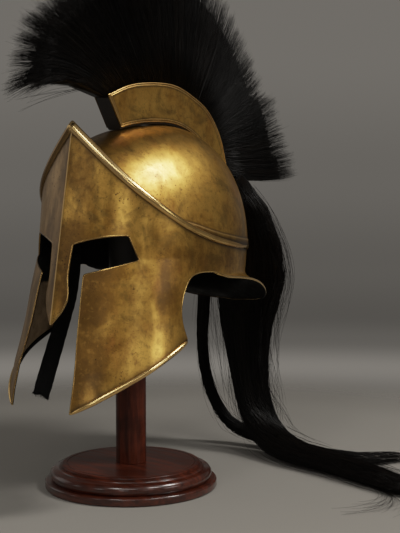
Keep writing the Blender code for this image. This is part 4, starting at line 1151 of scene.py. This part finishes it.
def strap(leather):
    """The cut leather strap: a flat rounded section on a smooth fall, its end torn."""
    around, steps = 30, 90
    z = np.array(STRAP["z"][::-1])
    at = np.linspace(z[-1], z[0], steps)
    x, y, turn = (curve(at, z, STRAP[k][::-1]) for k in ("x", "y", "turn"))
    path = np.stack([x, y, at], -1)
    tangent = unit(np.gradient(path, axis=0))
    turn = np.radians(turn)
    wide = np.stack([np.cos(turn), np.sin(turn), 0 * turn], -1)
    wide = unit(wide - (wide * tangent).sum(1, keepdims=True) * tangent)
    face = np.cross(tangent, wide)
    t = round_angles(around)
    u = square_round(t, 0.45)[0] * STRAP_WIDTH / 2
    v = square_round(t, 0.6)[1] * STRAP_THICK / 2
    cup = 0.0009 * (1 - (2 * u / STRAP_WIDTH) ** 2)
    narrow = 1 - 0.04 * np.abs(waves(at * 60, 21))
    rings = path[:, None] + wide[:, None] * (narrow[:, None] * u)[..., None]
    rings = rings + face[:, None] * (v + cup)[None, :, None]
    torn = 0.0016 * waves(u * 900, 23, 6, 1, 4) + 0.0008 * waves(u * 2600, 24)
    near_end = ease((np.arange(steps) - steps + 7) / 6)[:, None, None]
    rings = rings + tangent[-1] * near_end * torn[None, :, None]
    ends = np.stack([rings[0].mean(0), rings[-1].mean(0) - tangent[-1] * 0.001])
    make_piece("strap", *closed_rings(rings, ends), [leather], "black_leather", ("chin_strap",), sharp=60)
    # fibres at the torn end
    count, k = 90, 5
    share = np.linspace(0, 1, k)[None, :, None]
    place = dice.uniform(-1, 1, (count, 1, 1))
    root = path[-1] + wide[-1] * place * STRAP_WIDTH * 0.48
    root = root + face[-1] * dice.uniform(-1, 1, (count, 1, 1)) * 0.001 - tangent[-1] * 0.002
    away = tangent[-1] * dice.uniform(0.002, 0.0055, (count, 1, 1))
    away = away + wide[-1] * dice.normal(0, 0.0018, (count, 1, 1))
    away = away + face[-1] * dice.normal(0, 0.0010, (count, 1, 1))
    radius = np.full((count, 1), 0.00016) * (1 - 0.6 * share[..., 0])
    verts, faces = strands(root + away * share, radius, (1.0, 0.3, 0.1))
    make_piece("strap_fibres", verts, faces, [leather], "black_leather")


def rivet(black):
    """A low domed head against the strap, turned to face inward and painted over."""
    radius, height = (RIVET_HIGH - RIVET_LOW)[1] / 2, (RIVET_HIGH - RIVET_LOW)[0]
    t = np.linspace(0, pi / 2, 12)
    profile = np.stack([radius * np.sin(t), height * np.cos(t)], -1)
    verts, faces = turned(np.concatenate([profile, [[0.0, 0.0]]]), 40)
    verts = verts[:, [2, 0, 1]] + [RIVET_LOW[0], *(RIVET_LOW + RIVET_HIGH)[1:] / 2]
    return make_piece("rivet_head", verts, faces, [black], "patinated_brass", ("strap_rivet",), sharp=50)


def stand(wood, black):
    """Turned plinth, post and hidden head: profiles spun on a lathe."""
    radius, top = BASE_HIGH[0], BASE_HIGH[2]
    plinth_h, tier_r, disc_r = 0.0090, radius - 0.0055, radius - 0.0180
    tier_z = plinth_h + 0.0052
    profile = np.concatenate([
        [(0.0, top), (disc_r - 0.0070, top)],
        arc((disc_r - 0.0060, top), 0.0006, 180, 360, 7),
        [(disc_r - 0.0050, top)],
        arc((disc_r - 0.0018, top - 0.0018), 0.0018, 88, 0, 8),
        [(disc_r + 0.0001, top - 0.0029), (disc_r + 0.0012, top - 0.0034)],
        arc((disc_r + 0.0020, top - 0.0044), 0.0010, 80, 0, 5),
        [(disc_r + 0.0040, top - 0.0052)],
        arc((tier_r - 0.0068, tier_z), 0.0068, 66, -58, 22),
        [(tier_r - 0.0040, plinth_h + 0.0002), (radius - 0.0030, plinth_h)],
        arc((radius - 0.0024, plinth_h - 0.0024), 0.0024, 88, 0, 8),
        arc((radius - 0.0020, 0.0020), 0.0020, 0, -88, 7),
        [(0.0, 0.0)],
    ])
    verts, faces = turned(profile)
    make_piece("plinth", verts, faces, [wood], "dark_mahogany", ("stand_base",), sharp=50)
    r, low, high = POST_HIGH[0], POST_LOW[2], POST_HIGH[2]
    heights = np.linspace(high, low, 14)
    profile = np.concatenate([[(0.0, high)], np.stack([np.full(14, r), heights], -1), [(0.0, low)]])
    verts, faces = turned(profile, 96)
    make_piece("post", verts, faces, [wood], "dark_mahogany", ("stand_post",), sharp=50)
    r, low, high = HEAD_HIGH[0], HEAD_LOW[2], HEAD_HIGH[2]
    sleeve, cap_h = 0.0232, 0.040
    t = np.linspace(0, pi / 2, 16)
    profile = np.concatenate([
        np.stack([r * np.sin(t), high - 0.6 * cap_h * (1 - np.cos(t))], -1),
        arc((r - 0.003, high - 0.85 * cap_h), 0.003, 0, -60, 6),
        [(0.85 * r, high - cap_h), (sleeve + 0.002, high - cap_h), (sleeve, high - cap_h - 0.002)],
        arc((sleeve - 0.001, low + 0.001), 0.001, 0, -88, 5), [(0.0, low)],
    ])
    verts, faces = turned(profile, 96)
    # painted shade: the hidden head takes the black wood, so that it shows as the dark inside the helmet
    make_piece("post_head", verts, faces, [black], "black_wood", ("stand_head",), sharp=50)


# ---------------------------------------------------------------- finishes


class Finish:
    """A material under construction: a Principled shader and short ways to add nodes."""

    def __init__(self, name, **sockets):
        self.material = bpy.data.materials.new(name)
        self.material.use_nodes = True
        self.tree = self.material.node_tree
        self.shader = self.tree.nodes["Principled BSDF"]
        for socket, value in sockets.items():
            self.shader.inputs[socket.replace("_", " ")].default_value = value
        self.where = self.tree.nodes.new("ShaderNodeTexCoord").outputs["Object"]

    def node(self, kind, inputs=(), **settings):
        """A node with its settings, and its inputs linked or set by name or number."""
        made = self.tree.nodes.new("ShaderNode" + kind)
        for key, value in settings.items():
            setattr(made, key, value)
        for key, value in dict(inputs).items():
            if isinstance(value, bpy.types.NodeSocket):
                self.tree.links.new(value, made.inputs[key])
            else:
                made.inputs[key].default_value = value
        return made

    def stretched(self, scale):
        return self.node("Mapping", {"Vector": self.where, "Scale": scale}).outputs[0]

    def noise(self, scale, detail=4.0, rough=0.55, vector=None, bend=0.0):
        return self.node("TexNoise", {
            "Vector": vector or self.where, "Scale": scale, "Detail": detail,
            "Roughness": rough, "Distortion": bend,
        }).outputs["Fac"]

    def band(self, value, low, high, to_low=0.0, to_high=1.0):
        """Maps low..high of a value smoothly to to_low..to_high."""
        return self.node("MapRange", {
            "Value": value, "From Min": low, "From Max": high, "To Min": to_low, "To Max": to_high,
        }, interpolation_type="SMOOTHSTEP").outputs[0]

    def sum(self, a, b, operation="ADD"):
        """a plus b, or another sum of the two, held between 0 and 1."""
        return self.node("Math", {0: a, 1: b}, operation=operation, use_clamp=True).outputs[0]

    def scaled(self, value, share):
        """Value times share, held between 0 and 1."""
        return self.sum(value, share, "MULTIPLY")

    def weighted(self, value, weight, rest):
        """Value times weight plus rest, which may go below 0 or past 1."""
        return self.node("Math", {0: value, 1: weight, 2: rest}, operation="MULTIPLY_ADD").outputs[0]

    def blend(self, share, a, b):
        """Colour a where share is 0, b where it is 1."""
        return self.node("Mix", {0: share, 6: a, 7: b}, data_type="RGBA").outputs[2]

    def mark(self, name):
        return self.node("Attribute", attribute_name=name).outputs["Fac"]

    def bump(self, height, strength, distance, under=None):
        inputs = {"Height": height, "Strength": strength, "Distance": distance}
        if under:
            inputs["Normal"] = under
        return self.node("Bump", inputs).outputs[0]

    def set(self, socket, value):
        self.tree.links.new(value, self.shader.inputs[socket])


def patinated_brass():
    """Satin brass under thin lacquer, mottled with brown and olive tarnish and pitted.

    The tarnish is a sum of broad clouds, hand-sized patches and streaks that run down; painted shade and
    painted highlights are laid over it from marks on the pieces.
    """
    f = Finish("patinated_brass", Metallic=1.0, Coat_Weight=0.3, Coat_Roughness=0.30)
    large = f.noise(13.0, 4.0, 0.55, bend=0.8)
    patches = f.noise(40.0, 6.0, 0.62, bend=0.5)
    streaks = f.noise(1.0, 5.0, 0.60, f.stretched((70.0, 70.0, 13.0)))
    speckle = f.noise(420.0, 4.0, 0.65)
    tarnish = f.sum(f.scaled(large, 0.40), f.scaled(patches, 0.35))
    tarnish = f.sum(tarnish, f.scaled(streaks, 0.25))
    # the brown mark: tarnish, painted shade, and painted highlights where it is below zero
    brown = f.mark("brown")
    mottled = f.sum(f.scaled(patches, 0.5), f.scaled(streaks, 0.5))
    stain_and_shade = f.band(f.weighted(brown, 0.35, mottled), 0.64, 1.20, 0.0, 0.75)
    tarnish = f.weighted(brown, 0.09, tarnish)
    tarnish = f.band(tarnish, 0.37, 0.63)
    colour = f.blend(tarnish, (0.76, 0.435, 0.092, 1), (0.240, 0.116, 0.018, 1))
    olive = f.band(f.noise(22.0, 5.0, 0.65, bend=1.0), 0.52, 0.68, 0.0, 0.60)
    colour = f.blend(olive, colour, (0.155, 0.092, 0.022, 1))
    russet = f.band(f.noise(29.0, 5.0, 0.62, f.stretched((1.0, 1.0, 0.5))), 0.54, 0.72, 0.0, 0.55)
    colour = f.blend(russet, colour, (0.30, 0.112, 0.026, 1))
    colour = f.blend(stain_and_shade, colour, (0.085, 0.040, 0.0075, 1))
    freckles = f.noise(170.0, 5.0, 0.66, bend=0.3)
    colour = f.blend(f.band(freckles, 0.50, 0.70, 0.0, 0.45), colour, (0.090, 0.044, 0.0085, 1))
    colour = f.blend(f.band(freckles, 0.46, 0.34, 0.0, 0.10), colour, (0.80, 0.47, 0.115, 1))
    colour = f.blend(f.band(speckle, 0.54, 0.76, 0.0, 0.50), colour, (0.085, 0.045, 0.014, 1))
    # painted shade: where the dull mark is set the colour turns a greyer, darker brown
    dull = f.mark("dull")
    far_shade_colour = f.blend(f.band(streaks, 0.40, 0.66), (0.31, 0.190, 0.078, 1), (0.150, 0.086, 0.030, 1))
    colour = f.blend(f.scaled(dull, 0.85), colour, far_shade_colour)
    ragged = f.node("MixRGB", {0: 0.004, 1: f.where, 2: f.node(
        "TexNoise", {"Vector": f.where, "Scale": 600.0}).outputs["Color"]}).outputs[0]
    pits = None
    for scale, share, where_scale, low in ((330.0, 0.52, 17.0, 0.51), (560.0, 0.62, 26.0, 0.49)):
        cells = f.node("TexVoronoi", {"Vector": ragged, "Scale": scale}, feature="F1")
        chosen = f.node("SeparateColor", {0: cells.outputs["Color"]}).outputs[0]
        dot = f.band(cells.outputs["Distance"], 0.10, 0.36, 1.0, 0.0)
        dot = f.sum(dot, f.band(chosen, share, share + 0.02), "MULTIPLY")
        dot = f.sum(dot, f.band(f.noise(where_scale, 3.0, 0.6), low, low + 0.10), "MULTIPLY")
        pits = dot if pits is None else f.sum(pits, dot)
    colour = f.blend(f.scaled(pits, 0.92), colour, (0.030, 0.014, 0.006, 1))
    # painted shade from its mark: dark brown along the roll, the rims, the grooves and beside the crest
    colour = f.blend(f.scaled(f.mark("grime"), 0.90), colour, (0.040, 0.021, 0.007, 1))
    # pale brass from its mark: wear together with painted highlights
    colour = f.blend(f.mark("worn"), colour, (1.0, 0.70, 0.33, 1))
    f.set("Base Color", colour)
    rough = f.band(f.sum(tarnish, f.band(speckle, 0.35, 0.75, 0.0, 0.25)), 0.0, 1.2, 0.30, 0.46)
    rough = f.sum(rough, f.scaled(dull, 0.08))
    f.set("Roughness", f.sum(rough, f.scaled(pits, 0.25)))
    dents = f.bump(f.noise(34.0, 1.0, 0.5), 0.26, 0.0040)
    grain = f.bump(f.noise(1.0, 3.0, 0.6, f.stretched((520.0, 520.0, 190.0))), 0.07, 0.0006, dents)
    f.set("Normal", f.bump(pits, -0.35, 0.0008, grain))
    return f.material


def polished_brass():
    """Brass rubbed bright on beads and edges, with a little tarnish left in the hollows; painted highlights
    make it paler, and painted shade darkens the right half.
    """
    f = Finish("polished_brass", Metallic=1.0, Coat_Weight=0.10, Coat_Roughness=0.25)
    patches = f.noise(24.0, 3.0, 0.5, bend=0.4)
    colour = f.blend(f.band(patches, 0.42, 0.70), (0.80, 0.52, 0.18, 1), (0.50, 0.28, 0.075, 1))
    spots = f.band(f.noise(260.0, 3.0, 0.6), 0.64, 0.80, 0.0, 0.25)
    colour = f.blend(spots, colour, (0.20, 0.11, 0.035, 1))
    # pale from its mark: wear together with painted highlights
    colour = f.blend(f.scaled(f.mark("worn"), 0.8), colour, (0.92, 0.63, 0.28, 1))
    # painted shade: the right half's beads and edges darken
    colour = f.blend(f.scaled(f.mark("dull"), 0.9), colour, (0.15, 0.085, 0.035, 1))
    f.set("Base Color", colour)
    f.set("Roughness", f.band(patches, 0.3, 0.7, 0.18, 0.23))
    f.set("Normal", f.bump(f.noise(60.0, 2.0, 0.5), 0.008, 0.0006))
    return f.material


def black_lining():
    """Thin black paint inside the helmet, rubbed down to dull brown metal inside the cheeks."""
    f = Finish("black_lining", Specular_IOR_Level=0.08)
    dust = f.noise(90.0, 5.0, 0.6)
    paint = f.blend(f.band(dust, 0.45, 0.8), (0.0016, 0.0015, 0.0014, 1), (0.0045, 0.004, 0.0035, 1))
    metal = f.blend(f.band(dust, 0.35, 0.7), (0.30, 0.215, 0.130, 1), (0.20, 0.140, 0.082, 1))
    bare = f.band(f.sum(f.mark("bare"), f.band(dust, 0.3, 0.7, -0.15, 0.15)), 0.35, 0.65)
    f.set("Base Color", f.blend(bare, paint, metal))
    f.set("Metallic", f.scaled(bare, 0.45))
    f.set("Roughness", f.band(dust, 0.3, 0.7, 0.50, 0.70))
    f.set("Normal", f.bump(f.noise(240.0, 4.0, 0.6), 0.12, 0.0008))
    return f.material


def black_wood():
    """Black stained wood with a dull polish and a fine grain."""
    f = Finish("black_wood", Specular_IOR_Level=0.4)
    grain = f.noise(1.0, 6.0, 0.6, f.stretched((420.0, 60.0, 60.0)))
    f.set("Base Color", f.blend(grain, (0.0050, 0.0044, 0.0040, 1), (0.016, 0.013, 0.011, 1)))
    f.set("Roughness", f.band(grain, 0.3, 0.7, 0.36, 0.52))
    f.set("Normal", f.bump(grain, 0.12, 0.0006))
    return f.material


def mahogany():
    """Dark red mahogany under gloss lacquer: long fibres, pores and broad darker figure."""
    f = Finish("dark_mahogany", Coat_IOR=1.6, Coat_Roughness=0.18, Specular_IOR_Level=0.10)
    fibres = f.noise(1.0, 6.0, 0.62, f.stretched((26.0, 190.0, 190.0)), 0.3)
    upright = f.noise(1.0, 6.0, 0.62, f.stretched((210.0, 210.0, 20.0)), 0.3)
    height = f.node("SeparateXYZ", {0: f.where}).outputs[2]
    on_post = f.band(height, BASE_HIGH[2] + 0.0001, BASE_HIGH[2] + 0.0004)
    fibres = f.node("Mix", {0: on_post, 2: fibres, 3: upright}).outputs[0]
    figure = f.noise(1.0, 3.0, 0.5, f.stretched((7.0, 30.0, 30.0)), 1.0)
    colour = f.blend(f.band(fibres, 0.32, 0.68), (0.026, 0.0050, 0.0022, 1), (0.086, 0.0170, 0.0072, 1))
    colour = f.blend(f.band(figure, 0.40, 0.68, 0.0, 0.65), colour, (0.016, 0.0032, 0.0016, 1))
    f.set("Base Color", colour)
    # the lacquer is rubbed thin on the flat top and the post
    f.set("Coat Weight", f.band(height, BASE_HIGH[2] - 0.006, BASE_HIGH[2] - 0.002, 0.80, 0.14))
    f.set("Roughness", f.band(fibres, 0.3, 0.7, 0.34, 0.46))
    f.set("Normal", f.bump(fibres, 0.05, 0.0005))
    return f.material


def horsehair():
    """Coarse black hair: each strand its own black, with a soft brownish sheen."""
    f = Finish("black_horsehair", Specular_IOR_Level=0.13)
    tone = f.mark("shade")
    f.set("Base Color", f.blend(tone, (0.0008, 0.0006, 0.0005, 1), (0.0056, 0.0040, 0.0030, 1)))
    f.set("Roughness", f.band(tone, 0.0, 1.0, 0.52, 0.40))
    return f.material


def black_leather():
    """Matt black leather with a pebbled grain and paler rubbed spots."""
    f = Finish("black_leather", Specular_IOR_Level=0.12)
    pebbles = f.node("TexVoronoi", {"Vector": f.where, "Scale": 900.0}, feature="F1").outputs["Distance"]
    wear = f.band(f.noise(120.0, 5.0, 0.6), 0.55, 0.8)
    f.set("Base Color", f.blend(wear, (0.0020, 0.0018, 0.0017, 1), (0.008, 0.007, 0.0065, 1)))
    f.set("Roughness", f.band(wear, 0.0, 1.0, 0.62, 0.50))
    f.set("Normal", f.bump(pebbles, 0.25, 0.0004))
    return f.material


# ---------------------------------------------------------------- stage, light and camera


FLOOR_R = 1.0


def stage():
    """A plain pale floor that fades into the room's grey at its rim."""
    f = Finish("studio_floor", Specular_IOR_Level=0.2)
    tone = f.noise(1.3, 4.0, 0.55)
    f.set("Base Color", f.blend(tone, (0.238, 0.226, 0.207, 1), (0.283, 0.269, 0.247, 1)))
    f.set("Roughness", f.band(tone, 0.3, 0.7, 0.60, 0.70))
    reach = f.node("VectorMath", {0: f.where}, operation="LENGTH").outputs["Value"]
    f.set("Alpha", f.band(reach, 0.48, 0.82, 1.0, 0.0))
    verts, faces = turned(np.array([(0.0, -0.0002), (0.5, -0.0002), (FLOOR_R, -0.0002),
                                    (FLOOR_R, -0.0102), (0.0, -0.0102)]), 96)
    mesh = bpy.data.meshes.new("studio_floor")
    mesh.from_pydata(verts.tolist(), [], [face for group in faces for face in group.tolist()])
    mesh.materials.append(f.material)
    floor = bpy.data.objects.new("studio_floor", mesh)
    bpy.context.scene.collection.objects.link(floor)


# the room's tone by the sine of the height of sight: a pale sweep low down, dusk above it
LOW_SIGHT, HIGH_SIGHT = -0.30, 0.50
ROOM_TONES = ((-0.30, 0.150), (-0.205, 0.145), (-0.178, 0.135), (-0.156, 0.195), (-0.134, 0.105),
              (-0.115, 0.082), (-0.074, 0.097), (0.0, 0.122), (0.10, 0.150), (0.17, 0.150),
              (0.28, 0.075), (0.50, 0.080))


def room():
    """Grey surroundings: dim at eye level, paler low down and overhead."""
    world = bpy.data.worlds.new("studio")
    world.use_nodes = True
    bpy.context.scene.world = world
    nodes, links = world.node_tree.nodes, world.node_tree.links
    place = nodes.new("ShaderNodeTexCoord")
    split = nodes.new("ShaderNodeSeparateXYZ")
    ramp = nodes.new("ShaderNodeValToRGB")
    spread = nodes.new("ShaderNodeMapRange")
    spread.inputs["From Min"].default_value = LOW_SIGHT
    spread.inputs["From Max"].default_value = HIGH_SIGHT
    links.new(place.outputs["Generated"], split.inputs[0])
    links.new(split.outputs[2], spread.inputs["Value"])
    links.new(spread.outputs[0], ramp.inputs[0])
    ramp.color_ramp.interpolation = "EASE"
    while len(ramp.color_ramp.elements) < len(ROOM_TONES):
        ramp.color_ramp.elements.new(0.5)
    for element, (at, grey) in zip(ramp.color_ramp.elements, ROOM_TONES):
        element.position = (at - LOW_SIGHT) / (HIGH_SIGHT - LOW_SIGHT)
        element.color = (grey * 1.07, grey, grey * 0.90, 1)
    links.new(ramp.outputs[0], nodes["Background"].inputs[0])


AIM = np.array([0.0, 0.02, 0.30])
LIGHT_COLOUR = (1.0, 0.97, 0.92)

SOFTBOXES = (
    # name, degrees round from the front, degrees up, distance, width and height, watts
    ("key", 118, 47, 1.7, (0.36, 0.36), 18),
    ("upper_side", 81, 43, 1.9, (0.45, 0.30), 8),
    ("strip", 30, 36, 2.2, (1.2, 0.30), 6),
    ("high_front", 15, 44, 2.2, (0.35, 0.35), 5),
    ("side", 99, 10, 1.9, (0.6, 0.4), 3.0),
    ("cheek", 66, 13, 2.1, (0.5, 0.4), 1.1),
    ("front", 30, 6, 2.2, (0.3, 0.3), 1.5),
    ("brow", -4, 16, 2.3, (0.4, 0.5), 1.3),
    ("left", -78, 14, 2.4, (1.2, 1.2), 2.2),
    ("crease", -40, 12, 2.4, (0.12, 0.7), 0.6),
    ("overhead", 20, 80, 2.2, (1.6, 1.6), 0.8),
)


def softbox(name, azimuth, elevation, distance, size, watts):
    """A rectangular light on a compass bearing (0 in front, 90 at the wearer's left)."""
    a, e = radians(azimuth), radians(elevation)
    back = np.array([np.sin(a) * np.cos(e), -np.cos(a) * np.cos(e), np.sin(e)])
    light = bpy.data.lights.new(name, "AREA")
    light.shape = "RECTANGLE"
    light.size, light.size_y = size
    light.energy = watts
    light.color = LIGHT_COLOUR
    lamp = bpy.data.objects.new(name, light)
    lamp.location = AIM + back * distance
    lamp.rotation_euler = (pi / 2 - e, 0.0, a)
    bpy.context.scene.collection.objects.link(lamp)


def lights():
    for box in SOFTBOXES:
        softbox(*box)


EYE = (0.8717, -0.9681, 0.3372)
EYE_TILT = -4.25  # degrees from level, down
EYE_TURN = 38.67  # degrees round from the front
LENS = 81.05  # millimetres


def camera():
    lens = bpy.data.cameras.new("camera")
    lens.sensor_width = 36.0
    lens.lens = LENS
    lens.clip_start = 0.05
    eye = bpy.data.objects.new("camera", lens)
    eye.location = EYE
    eye.rotation_euler = (radians(90 + EYE_TILT), 0.0, radians(EYE_TURN))
    bpy.context.scene.collection.objects.link(eye)
    bpy.context.scene.camera = eye


# scene light against shown light: true in the shadows and middle, a soft shoulder above
SHOULDER = ((0.25, 0.25), (0.52, 0.45), (0.77, 0.57), (1.10, 0.68), (1.60, 0.78), (2.60, 0.87),
            (4.20, 0.94), (7.00, 1.00))


def picture_tone():
    """The picture's tone: highlights roll off gently to a warm white."""
    view = bpy.context.scene.view_settings
    view.view_transform = "Standard"
    view.use_curve_mapping = True
    tone = view.curve_mapping
    brightest = SHOULDER[-1][0]
    tone.white_level = (brightest, brightest, brightest)
    shown = tone.curves[3].points
    for at, to in SHOULDER[:-1]:
        shown.new(at / brightest, to)
    for point in shown:
        point.handle_type = "AUTO_CLAMPED"
    shown[0].handle_type = "VECTOR"
    shown[1].handle_type = "VECTOR"
    tone.update()


# ---------------------------------------------------------------- the whole


def build():
    brass, bright = patinated_brass(), polished_brass()
    lining, block, wood = black_lining(), black_wood(), mahogany()
    hair, leather = horsehair(), black_leather()
    helmet_sheet(brass, lining, bright)
    opening_edge(bright, lining)
    rear_edge(bright, lining)
    brow_bead(bright, lining)
    for side, name in ((1, "left"), (-1, "right")):
        cheek_bead(side, f"cheek_bead_{name}", f"cheek_rim_{name}", bright, lining)
    skull(brass, lining)
    crest_block(block)
    for side, name in ((1, "left"), (-1, "right")):
        crest_plate(side, f"crest_side_{name}", f"crest_plate_{name}", brass)
    crest_body(hair)
    crest_strands("crest_hair_front", 7400, -19.4, 5.0, hair)
    crest_strands("crest_hair_rear", 7600, 5.0, 56.6, hair)
    lock_body("tail_body", TAIL, "tail_hair", hair, 31)
    lock_body("side_lock_body", LOCK, "tail_lock", hair, 41, fill=0.66)
    lock_strands("tail_strands", TAIL, 1900, hair)
    lock_strands("side_lock_strands", LOCK, 420, hair, ends=(0.7, 1.0))
    loose_hairs(hair)
    strap(leather)
    rivet(lining)
    stand(wood, block)


picture_tone()
build()
stage()
room()
lights()
camera()
